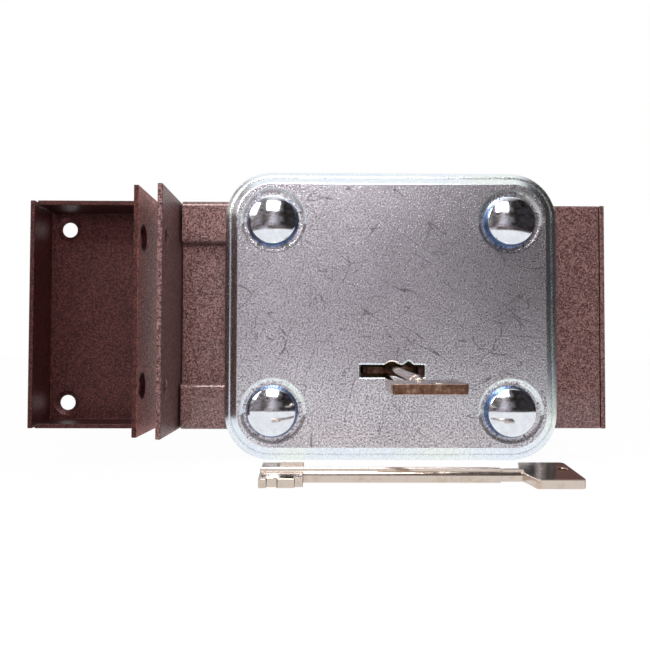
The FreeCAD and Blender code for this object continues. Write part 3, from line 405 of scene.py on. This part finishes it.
def machined_metal(name, colour, roughness, grain=(1500, 1500, 90)):
    """Ground or stamped metal with fine lines along one direction."""
    material, nodes, links, shader = new_material(name)
    lines = noise(nodes, links, object_coords(nodes, links, grain), 1.0, 3.0, 0.6)
    tone = ramp(nodes, links, lines, [(0.35, 0.82), (0.65, 1.0)])
    links.new(multiplied(nodes, links, colour, tone), shader.inputs["Base Color"])
    shader.inputs["Metallic"].default_value = 1.0
    shader.inputs["Roughness"].default_value = roughness
    bump(nodes, links, shader, lines, 0.02 * MM, 0.3)
    return material


def clothe(piece, *materials):
    """Gives a piece its materials, in slot order."""
    slots = piece.data.materials
    slots.clear()
    for material in materials:
        slots.append(material)


# Mesh helpers


# Edges that turn by more than this angle are rounded
ROUNDED_ABOVE = math.radians(32)
WIDE_ROUND = 0.85 * MM
MERGE_DISTANCE = 2e-6
FLAT_WITHIN = math.radians(0.5)
FULL_TURN = 2 * np.pi


def linked(name, data):
    """A new object in the scene."""
    item = bpy.data.objects.new(name, data)
    bpy.context.scene.collection.objects.link(item)
    return item


def new_piece(name, mesh, node, body):
    """Links a finished mesh as a piece that stands for a CAD node and rides on its body."""
    piece = linked(name, mesh)
    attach(piece, body)
    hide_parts(node)
    return piece


def softened(node, body, width, wide_edges=None, left_sharp=None):
    """A copy of a CAD node with its facets merged and its sharp edges rounded by a bevel. The
    edges that wide_edges names get a wider rounding first, and those that left_sharp names get
    none."""
    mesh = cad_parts[node].data.copy()
    shape = bmesh.new()
    shape.from_mesh(mesh)
    bmesh.ops.remove_doubles(shape, verts=shape.verts, dist=MERGE_DISTANCE)
    bmesh.ops.dissolve_limit(
        shape, angle_limit=FLAT_WITHIN, verts=shape.verts, edges=shape.edges
    )
    if wide_edges:
        weight = shape.edges.layers.float.new("bevel_weight_edge")
        for edge in wide_edges(shape):
            edge[weight] = 1
    if left_sharp:
        weight = shape.edges.layers.float.new("bevel_weight_edge")
        sharp = left_sharp(shape)
        for edge in shape.edges:
            edge[weight] = edge not in sharp and edge.calc_face_angle(0) > ROUNDED_ABOVE
    shape.to_mesh(mesh)
    shape.free()
    mesh.shade_smooth()
    piece = new_piece(f"{node}_finished", mesh, node, body)
    if wide_edges:
        bevel = piece.modifiers.new("wide rounding", "BEVEL")
        bevel.width = WIDE_ROUND
        bevel.segments = 4
        bevel.limit_method = "WEIGHT"
        bevel.use_clamp_overlap = False
        bevel.material = 1
    bevel = piece.modifiers.new("rounded edges", "BEVEL")
    bevel.width = width
    bevel.segments = 3
    bevel.limit_method = "WEIGHT" if left_sharp else "ANGLE"
    bevel.angle_limit = ROUNDED_ABOVE
    bevel.use_clamp_overlap = False
    bevel.loop_slide = False
    normals = piece.modifiers.new("flat faces stay flat", "WEIGHTED_NORMAL")
    normals.mode = "FACE_AREA"
    normals.weight = 90
    return piece


def split_slots(piece, number):
    """Gives each face the material whose number a function of centres and normals returns."""
    faces = piece.data.polygons
    centres, normals = np.empty(3 * len(faces)), np.empty(3 * len(faces))
    faces.foreach_get("center", centres)
    faces.foreach_get("normal", normals)
    chosen = number(centres.reshape(-1, 3), normals.reshape(-1, 3))
    faces.foreach_set("material_index", chosen.astype(np.int32))


def grid_mesh(name, points, wrap_rows=False, cap_first=False, cap_last=False):
    """A mesh from a grid of points, rows by columns, closed round its columns. Rows may be
    closed too, and the first and last row may be drawn together to a pole."""
    rows, columns, _ = points.shape
    index = np.arange(rows * columns).reshape(rows, columns)
    lower = index if wrap_rows else index[:-1]
    upper = np.roll(index, -1, 0) if wrap_rows else index[1:]
    quads = np.stack(
        [lower, np.roll(lower, -1, 1), np.roll(upper, -1, 1), upper], -1
    ).reshape(-1, 4)
    vertices = points.reshape(-1, 3)
    faces = quads.tolist()
    for wanted, row, backwards in ((cap_first, index[0], True), (cap_last, index[-1], False)):
        if wanted:
            pole = len(vertices)
            vertices = np.vstack([vertices, points[row[0] // columns].mean(0)])
            ring = np.stack([row, np.roll(row, -1), np.full(columns, pole)], -1)
            faces += (ring[:, ::-1] if backwards else ring).tolist()
    mesh = bpy.data.meshes.new(name)
    mesh.from_pydata(vertices.tolist(), [], faces)
    mesh.shade_smooth()
    return mesh


def eased_path(points, cuts, steps=5):
    """A polyline whose corners are eased: each corner P is left at a distance cut before it
    and met again a distance cut after it, with a quadratic Bezier curve between, (1-t)^2 A +
    2t(1-t) P + t^2 B."""
    points = np.asarray(points, float)
    t = np.linspace(0, 1, steps)[:, None]
    pieces = [points[:1]]
    for before, corner, after, cut in zip(points[:-2], points[1:-1], points[2:], cuts):
        start = corner + (before - corner) / np.linalg.norm(before - corner) * cut
        end = corner + (after - corner) / np.linalg.norm(after - corner) * cut
        pieces.append((1 - t) ** 2 * start + 2 * t * (1 - t) * corner + t ** 2 * end)
    pieces.append(points[-1:])
    return np.vstack(pieces)


def around(radius, y, centre, angles):
    """Points at radius and y, both rows by columns, about an axis along Y through centre."""
    radius, y = np.broadcast_arrays(radius, y)
    return np.stack(
        [centre[0] + radius * np.cos(angles), y, centre[1] + radius * np.sin(angles)], -1
    )


def joined(name, meshes):
    """One mesh from several, which are removed."""
    shape = bmesh.new()
    for mesh in meshes:
        shape.from_mesh(mesh)
        bpy.data.meshes.remove(mesh)
    bmesh.ops.recalc_face_normals(shape, faces=shape.faces)
    mesh = bpy.data.meshes.new(name)
    shape.to_mesh(mesh)
    shape.free()
    mesh.shade_smooth()
    return mesh


# Places read from the frame


WASHER_RADIUS = 10 * MM
PLATE_CORNER = 22.3 * MM
# Start, foot, radius and new width of each pressed step, from the plate's edge inwards
PLATE_STEPS = (
    (0, -1.1 * MM, 2 * MM, 2.4 * MM),
    (3.1 * MM, -3.3 * MM, 2.7 * MM, 3.3 * MM),
)
DISH_RADIUS, DISH_DEPTH, DISH_LIFT = 13.2 * MM, 0.8 * MM, 0.35 * MM
DISH_BORDER = 2.5 * MM
# Corners in X and Z of a box round the keyhole
KEYHOLE = ((-15.5 * MM, -31 * MM), (16.5 * MM, -19 * MM))
SHANK_RADIUS = 5 * MM
HEAD_HEIGHT, NECK_HEIGHT = 7.2 * MM, 4 * MM
# Blue band of a bolt head, measured from the top of its dome
BLUE_FROM, BLUE_TO = 2.75 * MM, 7.3 * MM
# Axis to flat, and height
NUT_FLAT, NUT_HEIGHT = 8.5 * MM, 8.4 * MM
KEEPER_SHEET, KEEPER_SLOT_INSET = 2.2 * MM, 2.4 * MM
# Stretch of a key, from its bow end, where end faces keep their nickel
KEY_SHOULDER = (3 * MM, 45 * MM)
# How near a CAD point has to lie to a surface to count as on it
NEAR = 0.01 * MM


def bolt_centres():
    """Centres of the four bolts in X and Z, from the box round their washers."""
    _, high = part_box("washers")
    half_x, half_z = high.x - WASHER_RADIUS, high.z - WASHER_RADIUS
    return [(x, z) for x in (-half_x, half_x) for z in (-half_z, half_z)]


# Pieces


def bolt_mesh(centre, finish):
    """One domed bolt as a surface of turn: rows follow the outline from the middle of the
    dome to the tip of the shank. In the neck the circle becomes a square with eased corners,
    where radius = a / (|cos|^p + |sin|^p)^(1/p). In the thread the radius falls and rises once
    in each pitch, with its place shifted by the angle, which makes a helix."""
    low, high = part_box("carriage_bolts")
    shank = SHANK_RADIUS
    seat = low.y + HEAD_HEIGHT
    dome_rise, dome_radius, base_radius = 2.6 * MM, 11 * MM, 12.3 * MM
    ball = (dome_rise ** 2 + dome_radius ** 2) / (2 * dome_rise)
    swing = np.linspace(0.02, math.asin(dome_radius / ball) - 0.02, 22)
    dome = np.stack([ball * np.sin(swing), low.y + ball * (1 - np.cos(swing))], -1)
    skirt = eased_path(
        [dome[-1], (dome_radius, low.y + dome_rise), (base_radius, seat - 0.3 * MM),
         (base_radius - 0.2 * MM, seat), (shank + 1 * MM, seat)],
        [0.45 * MM, 0.2 * MM, 0.1 * MM],
    )
    columns = 72
    angles = np.linspace(0, FULL_TURN, columns, endpoint=False)
    outline = np.vstack([dome, skirt[1:]])
    head = np.repeat(outline[:, :1], columns, 1)
    head_y = outline[:, 1:]
    power = 12
    square = np.abs(np.cos(angles)) ** power + np.abs(np.sin(angles)) ** power
    square = shank / square ** (1 / power)
    neck_y = np.linspace(0, NECK_HEIGHT, 5)[:, None] + seat
    neck = np.repeat(square[None], 5, 0)
    tip = high.y
    start = tip - finish.thread_length
    plain_y = np.linspace(seat + 4.2 * MM, start, 4)[:, None]
    plain = np.full((4, columns), shank)
    turns = int(finish.thread_length / finish.thread_pitch)
    thread_y = np.linspace(start, tip, turns * 7)[:, None]
    phase = (thread_y / finish.thread_pitch - angles / FULL_TURN) % 1
    depth = 0.61 * finish.thread_pitch
    run_in = np.clip((thread_y - start) / (2 * finish.thread_pitch), 0, 1)
    groove = np.clip(1.25 - np.abs(phase - 0.5) * 2.5, 0, 1)
    thread = shank - depth * groove * run_in
    point = np.clip((tip - thread_y) / (1.2 * MM), 0, 1)
    thread = np.minimum(thread, shank - depth + depth * point)
    radius = np.vstack([head, neck, plain, thread])
    y = np.vstack([head_y, neck_y, plain_y, thread_y])
    points = around(radius, y, centre, angles)
    return grid_mesh("bolt", points, cap_first=True, cap_last=True)


def nut_mesh(centre):
    """One hexagon nut as a ring of sections. The outline at an angle is the smaller of the
    hexagon, a / cos of the angle from the nearest flat's middle, and a cone that cuts its
    corners at both ends."""
    low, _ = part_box("nuts")
    columns = 96
    angles = np.linspace(0, FULL_TURN, columns, endpoint=False)
    sixth = np.pi / 3
    hexagon = NUT_FLAT / np.cos(angles % sixth - sixth / 2)
    height = np.array([0, 0.15, 0.4, 0.8, 1.2, 4.2, 7.2, 7.6, 8.0, 8.25, 8.4])[:, None] * MM
    cone = NUT_FLAT * 0.95 + np.minimum(height, NUT_HEIGHT - height) * 1.73
    outer = np.minimum(hexagon, cone)
    inner_y = np.array([8.4, 7.8, 4.2, 0.6, 0])[:, None] * MM
    inner = np.repeat(np.array([5.6, 5.02, 5.02, 5.02, 5.6])[:, None] * MM, columns, 1)
    radius = np.vstack([outer, inner])
    y = np.vstack([height, inner_y]) + low.y
    return grid_mesh("nut", around(radius, y, centre, angles), wrap_rows=True)


def washer_mesh(centre):
    """One washer: a section with eased corners turned about the bolt."""
    low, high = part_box("washers")
    inner, outer = 5.5 * MM, WASHER_RADIUS
    start = (inner, (low.y + high.y) / 2)
    section = [start, (inner, low.y), (outer, low.y), (outer, high.y), (inner, high.y), start]
    path = eased_path(section, [0.15 * MM, 0.35 * MM, 0.35 * MM, 0.15 * MM], 4)[:-1]
    columns = 64
    angles = np.linspace(0, FULL_TURN, columns, endpoint=False)
    radius = np.repeat(path[:, :1], columns, 1)
    return grid_mesh("washer", around(radius, path[:, 1:], centre, angles), wrap_rows=True)


def keyhole_edges(shape):
    """The front edges of the armour plate's keyhole."""
    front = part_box("armour_plate")[0].y
    (left, bottom), (right, top) = KEYHOLE

    def inside(vertex):
        x, y, z = vertex.co
        return left < x < right and y < front + NEAR and bottom < z < top

    return [
        edge for edge in shape.edges
        if inside(edge.verts[0]) and inside(edge.verts[1])
        and len(edge.link_faces) == 2 and edge.calc_face_angle() > 0.5
    ]


def tight_slot_edges(shape):
    """The rear edge of the keeper's slot and the fold beside it, 0.2 mm apart on the inner face
    of the strike wall, which leaves no room for two roundings."""
    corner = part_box("keeper_box")[1]
    wall, slack = corner.x - KEEPER_SHEET, 0.05 * MM
    slot_edge, fold = corner.y - KEEPER_SLOT_INSET - slack, corner.y - KEEPER_SHEET + slack

    def in_band(vertex):
        return abs(vertex.co.x - wall) < slack and slot_edge < vertex.co.y < fold

    return {edge for edge in shape.edges if all(in_band(vertex) for vertex in edge.verts)}


def press_steps(mesh):
    """Gives the plate's two pressed steps the soft slopes of a pressing. Across a step, u
    runs from 0 to 1 over the CAD rounding, where inset = r (1 - cos a), rise = r sin a and
    u = a / 90 degrees. The new slope has inset = width u and rise = r (1 - (1 - u)^1.25).
    The dishes round the bolts are made shallower."""
    low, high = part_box("armour_plate")
    place = np.empty(3 * len(mesh.vertices))
    mesh.vertices.foreach_get("co", place)
    place = place.reshape(-1, 3)
    middle = (np.array(low) + np.array(high)) / 2
    half = (np.array(high) - np.array(low)) / 2
    flat = place[:, [0, 2]] - middle[[0, 2]]
    beyond = np.maximum(np.abs(flat) - (half[[0, 2]] - PLATE_CORNER), 0)
    reach = np.linalg.norm(beyond, axis=1)
    inset = PLATE_CORNER - reach
    outward = np.sign(flat) * beyond / np.maximum(reach, 1e-9)[:, None]
    for start, foot, radius, width in PLATE_STEPS:
        inner = inset - start
        rise = foot - place[:, 1]
        on_arc = np.abs(np.hypot(radius - inner, rise) - radius) < NEAR
        on_arc &= (inner > -NEAR) & (inner < radius + NEAR) & (rise > -NEAR)
        u = np.clip(np.arctan2(rise, radius - inner) / (np.pi / 2), 0, 1)
        shift = (inner - width * u)[:, None] * outward
        place[:, [0, 2]] += np.where(on_arc[:, None], shift, 0)
        place[:, 1] = np.where(on_arc, foot - radius * (1 - (1 - u) ** 1.25), place[:, 1])
    centres = np.array(bolt_centres())
    apart = np.linalg.norm(place[:, None, [0, 2]] - centres[None], axis=2).min(1)
    floor = low.y + DISH_DEPTH
    in_dish = (apart < DISH_RADIUS) & (np.abs(place[:, 1] - floor) < NEAR)
    place[:, 1] -= np.where(in_dish, DISH_LIFT, 0)
    mesh.vertices.foreach_set("co", place.ravel())
    mesh.update()


class LOCK_OT_case(bpy.types.Operator):
    """Finishes the folded sheets of the case"""

    bl_idname = "lock.finish_case"
    bl_label = "Finish case"

    def execute(self, context):
        finish = context.scene.lock_finish
        satin = hammer_paint("satin_paint", finish)
        glossy = hammer_paint("gloss_paint", finish, coat=0.8)
        for node in ("base_frame", "front_cover", "upper_rail", "lower_rail"):
            piece = softened(node, "case", finish.edge_round)
            clothe(piece, satin if node == "base_frame" else glossy)
        return {"FINISHED"}


class LOCK_OT_keeper(bpy.types.Operator):
    """Finishes the keeper box"""

    bl_idname = "lock.finish_keeper"
    bl_label = "Finish keeper box"

    def execute(self, context):
        finish = context.scene.lock_finish
        piece = softened(
            "keeper_box", "case", finish.edge_round,
            left_sharp=tight_slot_edges,
        )
        # Lit and shaded copies of one hammer paint. The keeper's faces are darkened as painted
        # shade, the strike wall's outer face facing +X is lightened past the case paint as a
        # painted highlight, and the other faces facing +X are darkened as painted shade
        inner = hammer_paint("keeper_shaded_paint", finish, finish.keeper_shade_tone)
        strike = hammer_paint("strike_lit_paint", finish, (2.1, 1.33, 1.18), gleam=0.1)
        clothe(piece, inner, strike, hammer_paint("keeper_side_shaded_paint", finish, (0.58, 0.3, 0.28)))
        strike_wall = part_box("keeper_box")[1].x - 10 * MM

        def paint_number(centre, facing):
            return (facing[:, 0] > 0.9) * np.where(centre[:, 0] > strike_wall, 1, 2)

        split_slots(piece, paint_number)
        return {"FINISHED"}


class LOCK_OT_plate(bpy.types.Operator):
    """Finishes the armour plate"""

    bl_idname = "lock.finish_plate"
    bl_label = "Finish armour plate"

    def execute(self, context):
        finish = context.scene.lock_finish
        plate = softened("armour_plate", "case", 0.3 * MM, keyhole_edges)
        press_steps(plate.data)
        # The second field material is the zinc at half brightness: painted shade on the dishes'
        # lower slopes below the bolt heads
        field, dish_shade = zinc_field("zinc_field", finish), zinc_field("dish_shade_zinc", finish, 0.5)
        clothe(plate, field, zinc_rim(finish), dish_shade)
        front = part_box("armour_plate")[0].y
        centres = np.array(bolt_centres())

        def finish_number(centre, facing):
            sunk = centre[:, 1] > front + 0.02 * MM
            apart = np.linalg.norm(centre[:, None, [0, 2]] - centres[None], axis=2).min(1)
            in_dish = sunk & (apart < DISH_RADIUS + DISH_BORDER)
            # Painted shade: faces in a dish that face upwards take the darkened zinc
            shaded_slope = in_dish & (facing[:, 2] > 0.04)
            flat = in_dish & (facing[:, 1] < -0.999)
            return sunk.astype(int) + shaded_slope - flat

        split_slots(plate, finish_number)
        return {"FINISHED"}


class LOCK_OT_bolts(bpy.types.Operator):
    """Makes the four domed bolts with their threads, washers and nuts"""

    bl_idname = "lock.make_bolts"
    bl_label = "Make bolts, washers and nuts"

    def execute(self, context):
        finish = context.scene.lock_finish
        centres = bolt_centres()
        bright = polished_zinc("polished_zinc", (0.80, 0.83, 0.88), 0.08)
        satin = polished_zinc("satin_zinc", (0.68, 0.72, 0.80), 0.24)
        bolts = joined("carriage_bolts_finished", [bolt_mesh(c, finish) for c in centres])
        piece = new_piece("carriage_bolts_finished", bolts, "carriage_bolts", "case")
        clothe(piece, bright, polished_zinc("blue_zinc", finish.blue_colour, 0.2))
        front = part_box("carriage_bolts")[0].y
        skirt, seat = front + BLUE_FROM, front + BLUE_TO
        split_slots(piece, lambda centre, facing: (centre[:, 1] > skirt) & (centre[:, 1] < seat))
        nuts = joined("nuts_finished", [nut_mesh(c) for c in centres])
        nuts.set_sharp_from_angle(angle=math.radians(28))
        clothe(new_piece("nuts_finished", nuts, "nuts", "case"), satin)
        washers = joined("washers_finished", [washer_mesh(c) for c in centres])
        clothe(new_piece("washers_finished", washers, "washers", "case"), satin)
        return {"FINISHED"}


class LOCK_OT_keys(bpy.types.Operator):
    """Finishes the key in the lock and the spare key"""

    bl_idname = "lock.finish_keys"
    bl_label = "Finish keys"

    def execute(self, context):
        # The end faces take the dark bronze, which is bare metal partly and painted shade partly
        metal, cut = nickel(context.scene.lock_finish), bronze()
        for node, body in (("key", "key"), ("spare_key", "case")):
            piece = softened(node, body, 0.25 * MM)
            clothe(piece, metal, cut)
            low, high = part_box(node)
            along = int(np.argmax(np.array(high) - np.array(low)))
            bow_end = low[along] if node == "key" else high[along]

            def is_cut(centre, facing):
                reach = np.abs(centre[:, along] - bow_end)
                shoulder = (reach > KEY_SHOULDER[0]) & (reach < KEY_SHOULDER[1])
                return (np.abs(facing[:, along]) > 0.6) & ~shoulder

            split_slots(piece, is_cut)
        return {"FINISHED"}


class LOCK_OT_works(bpy.types.Operator):
    """Finishes the deadbolt and the works inside the case"""

    bl_idname = "lock.finish_works"
    bl_label = "Finish deadbolt and works"

    def execute(self, context):
        ground = machined_metal("ground_steel", (0.58, 0.57, 0.56), 0.28, (90, 1500, 1500))
        stamped = machined_metal("stamped_steel", (0.60, 0.58, 0.52), 0.34)
        strip = machined_metal("steel_strip", (0.30, 0.32, 0.36), 0.3)
        brass = machined_metal("turned_brass", (0.34, 0.22, 0.10), 0.4)
        clothe(softened("deadbolt", "deadbolt", 0.3 * MM), ground)
        for node in ("bolt_tail", "bolt_stump", "tail_rivets", "spring_block", "lever_post",
                     "upper_guide_post", "lower_guide_post"):
            clothe(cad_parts[node], ground)
        for name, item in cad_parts.items():
            if name.startswith("lever_spring"):
                clothe(item, strip)
            elif name.startswith("lever_") and name != "lever_post":
                clothe(item, stamped)
        clothe(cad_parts["key_drum"], brass)
        return {"FINISHED"}


# Stage


PICTURE_WIDTH = 650
ROOM_REACH, ROOM_EDGE, ROOM_HEIGHT, SKY_HEIGHT = 1.4, 0.48, 2.7, 2.6


def make_camera(view):
    """Camera at the photograph's place. Its axes are +Y turned right, raised and rolled."""
    data = bpy.data.cameras.new("camera")
    data.sensor_width = 36
    data.lens = view.focal_pixels / PICTURE_WIDTH * data.sensor_width
    data.clip_start = 0.01
    camera = linked("camera", data)
    turned = Matrix.Rotation(-view.turn, 3, "Z") @ Matrix.Rotation(view.rise, 3, "X")
    upright = Matrix.Rotation(math.radians(90), 3, "X")
    rolled = Matrix.Rotation(-view.roll, 3, "Z")
    camera.matrix_world = Matrix.Translation(Vector(view.place)) @ (
        turned @ upright @ rolled
    ).to_4x4()
    bpy.context.scene.camera = camera


def make_light(name, place, target, size, power):
    """A soft oval lamp that points at a target."""
    data = bpy.data.lights.new(name, "AREA")
    data.shape = "ELLIPSE"
    data.size, data.size_y = size
    data.energy = power
    lamp = linked(name, data)
    lamp.location = place
    lamp.rotation_euler = (Vector(target) - Vector(place)).to_track_quat("-Z", "Y").to_euler()
    return lamp


def seen_white(nodes, links):
    """One for camera, glossy and transmission rays, zero for the rest."""
    path = nodes.new("ShaderNodeLightPath").outputs
    seen = calculated(nodes, links, "MAXIMUM", path["Is Camera Ray"], path["Is Glossy Ray"])
    return calculated(nodes, links, "MAXIMUM", seen, path["Is Transmission Ray"])


def make_world():
    """White where it is seen, and softer where it lights the lock."""
    world = bpy.data.worlds.new("studio")
    bpy.context.scene.world = world
    world.use_nodes = True
    nodes, links = world.node_tree.nodes, world.node_tree.links
    background = next(n for n in nodes if n.type == "BACKGROUND")
    colour = mix_colour(nodes, links, seen_white(nodes, links), 0.4, 1.0)
    links.new(colour, background.inputs["Color"])


def make_floor():
    """Pale floor under the plate and the spare key. It shows white, with soft shadows."""
    low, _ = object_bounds()
    half = 3.0
    corners = [(-half, -half), (half, -half), (half, half), (-half, half)]
    mesh = bpy.data.meshes.new("floor")
    height = low.z - 0.1 * MM
    mesh.from_pydata([(x, y, height) for x, y in corners], [], [(0, 1, 2, 3)])
    floor = linked("floor", mesh)
    material, nodes, links, shader = new_material("floor")
    seen = seen_white(nodes, links)
    links.new(mix_colour(nodes, links, seen, 0.7, 0.07), shader.inputs["Base Color"])
    shader.inputs["Roughness"].default_value = 1.0
    shader.inputs["Specular IOR Level"].default_value = 0.0
    shader.inputs["Emission Color"].default_value = (1, 1, 1, 1)
    glow = calculated(nodes, links, "MULTIPLY", seen, 0.96)
    links.new(glow, shader.inputs["Emission Strength"])
    clothe(floor, material)
    floor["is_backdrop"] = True


def only_reflected(item):
    """Lets only glossy rays see a stage object."""
    for ray in ("camera", "diffuse", "transmission", "volume_scatter", "shadow"):
        setattr(item, f"visible_{ray}", False)


def make_window(name, place, size, strength):
    """Bright pane that faces the lock and that only reflections show."""
    half_x, half_z = size[0] / 2, size[1] / 2
    corners = [(-half_x, -half_z), (half_x, -half_z), (half_x, half_z), (-half_x, half_z)]
    towards = -Vector(place).normalized()
    across = Vector((0, 0, 1)).cross(towards).normalized()
    up = towards.cross(across)
    mesh = bpy.data.meshes.new(name)
    points = [Vector(place) + across * x + up * z for x, z in corners]
    mesh.from_pydata(points, [], [(0, 1, 2, 3)])
    window = linked(name, mesh)
    only_reflected(window)
    material, _, _, shader = new_material(name)
    shader.inputs["Base Color"].default_value = (0, 0, 0, 1)
    shader.inputs["Specular IOR Level"].default_value = 0.0
    shader.inputs["Emission Color"].default_value = (1, 0.99, 0.97, 1)
    shader.inputs["Emission Strength"].default_value = strength
    clothe(window, material)
    window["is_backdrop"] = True


def make_room():
    """Dim room in front of the table, which only reflections show. Its section is a floor
    strip from the table's edge and a wall, carried round an arc: x = r sin a, y = -r cos a."""
    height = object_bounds()[0].z + 1 * MM
    section = np.array([
        (ROOM_EDGE, height), (ROOM_REACH, height), (ROOM_REACH, height + ROOM_HEIGHT),
    ])
    angles = np.radians(np.linspace(-125, 125, 51))
    radius, z = section[:, :1], section[:, 1:]
    points = np.stack(
        [radius * np.sin(angles), -radius * np.cos(angles), z + 0 * angles], -1
    )
    index = np.arange(points[..., 0].size).reshape(len(section), -1)
    faces = np.stack([index[:-1, :-1], index[:-1, 1:], index[1:, 1:], index[1:, :-1]], -1)
    mesh = bpy.data.meshes.new("room")
    mesh.from_pydata(points.reshape(-1, 3).tolist(), [], faces.reshape(-1, 4).tolist())
    room = linked("room", mesh)
    only_reflected(room)
    material, nodes, links, shader = new_material("room")
    blotches = noise(nodes, links, object_coords(nodes, links, (1, 1, 1.3)), 2.6, 3.0, 0.6)
    colour = ramp(nodes, links, blotches, [
        (0.36, (0.07, 0.05, 0.05)), (0.46, (0.36, 0.25, 0.21)), (0.52, (0.58, 0.52, 0.57)),
        (0.60, (0.84, 0.80, 0.89)), (0.70, (0.32, 0.20, 0.17)),
    ])
    split = nodes.new("ShaderNodeSeparateXYZ")
    links.new(object_coords(nodes, links), split.inputs[0])
    side = nodes.new("ShaderNodeMapRange")
    side.inputs["From Min"].default_value = -ROOM_REACH
    side.inputs["From Max"].default_value = ROOM_REACH
    links.new(split.outputs["X"], side.inputs["Value"])
    sides = ramp(nodes, links, side.outputs["Result"], [
        (0.0, 1.0), (0.15, 0.45), (0.34, 0.35), (0.42, 0.95), (0.5, 0.8), (0.58, 0.33), (0.7, 0.06),
    ])
    rise = nodes.new("ShaderNodeMapRange")
    rise.inputs["From Max"].default_value = SKY_HEIGHT
    links.new(split.outputs["Z"], rise.inputs["Value"])
    level = rise.outputs["Result"]
    glow = ramp(nodes, links, level, [(0.02, 0.0), (0.12, 0.35), (0.22, 0.0)])
    sky = ramp(nodes, links, level, [(0.65, 0.0), (1.0, 1.0)])
    colour = mix_colour(nodes, links, glow, colour, (1, 1, 1))
    colour = multiplied(nodes, links, colour, sides)
    colour = mix_colour(nodes, links, sky, colour, (1, 1, 1))
    shader.inputs["Base Color"].default_value = (0, 0, 0, 1)
    shader.inputs["Specular IOR Level"].default_value = 0.0
    links.new(colour, shader.inputs["Emission Color"])
    shader.inputs["Emission Strength"].default_value = 1.0
    clothe(room, material)
    room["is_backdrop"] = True


class LOCK_OT_stage(bpy.types.Operator):
    """Makes the camera, the lamp, the floor, the dim room and the white surroundings"""

    bl_idname = "lock.make_stage"
    bl_label = "Make stage"

    def execute(self, context):
        make_camera(context.scene.lock_view)
        make_world()
        make_floor()
        make_room()
        lamp = make_light("lamp", (-0.03, -0.6, 0.14), (0, 0, 0), (0.25, 0.25), 2.2)
        lamp.visible_glossy = False
        make_window("window", (-0.08, -0.9, 0.8), (0.5, 0.45), 14)
        make_window("side_window", (-0.95, -0.7, 0.75), (0.5, 0.6), 8)
        context.scene.view_settings.view_transform = "Standard"
        return {"FINISHED"}


# Panel


STEPS = (
    LOCK_OT_stage, LOCK_OT_case, LOCK_OT_keeper, LOCK_OT_plate, LOCK_OT_bolts, LOCK_OT_keys,
    LOCK_OT_works,
)


class LOCK_PT_panel(bpy.types.Panel):
    """Lists the steps that finish the lock"""

    bl_idname = "LOCK_PT_panel"
    bl_label = "Garage door lock"
    bl_space_type = "VIEW_3D"
    bl_region_type = "UI"
    bl_category = "Lock"

    def draw(self, context):
        for step in STEPS:
            self.layout.operator(step.bl_idname)
        for group in (context.scene.lock_finish, context.scene.lock_view):
            for name in group.bl_rna.properties.keys():
                if name not in ("name", "rna_type"):
                    self.layout.prop(group, name)


CLASSES = (LockFinish, LockView, *STEPS, LOCK_PT_panel)


def register():
    """Registers the classes and the settings."""
    for item in CLASSES:
        bpy.utils.register_class(item)
    bpy.types.Scene.lock_finish = bpy.props.PointerProperty(type=LockFinish)
    bpy.types.Scene.lock_view = bpy.props.PointerProperty(type=LockView)


def unregister():
    """Takes the settings and the classes away again."""
    del bpy.types.Scene.lock_view
    del bpy.types.Scene.lock_finish
    for item in reversed(CLASSES):
        bpy.utils.unregister_class(item)


def main():
    """Runs the steps in order."""
    register()
    for step in STEPS:
        area, action = step.bl_idname.split(".")
        result = getattr(getattr(bpy.ops, area), action)()
        if "FINISHED" not in result:
            raise RuntimeError(f"{step.bl_label} did not finish")
    bpy.context.view_layer.update()


if __name__ == "__main__":
    main()
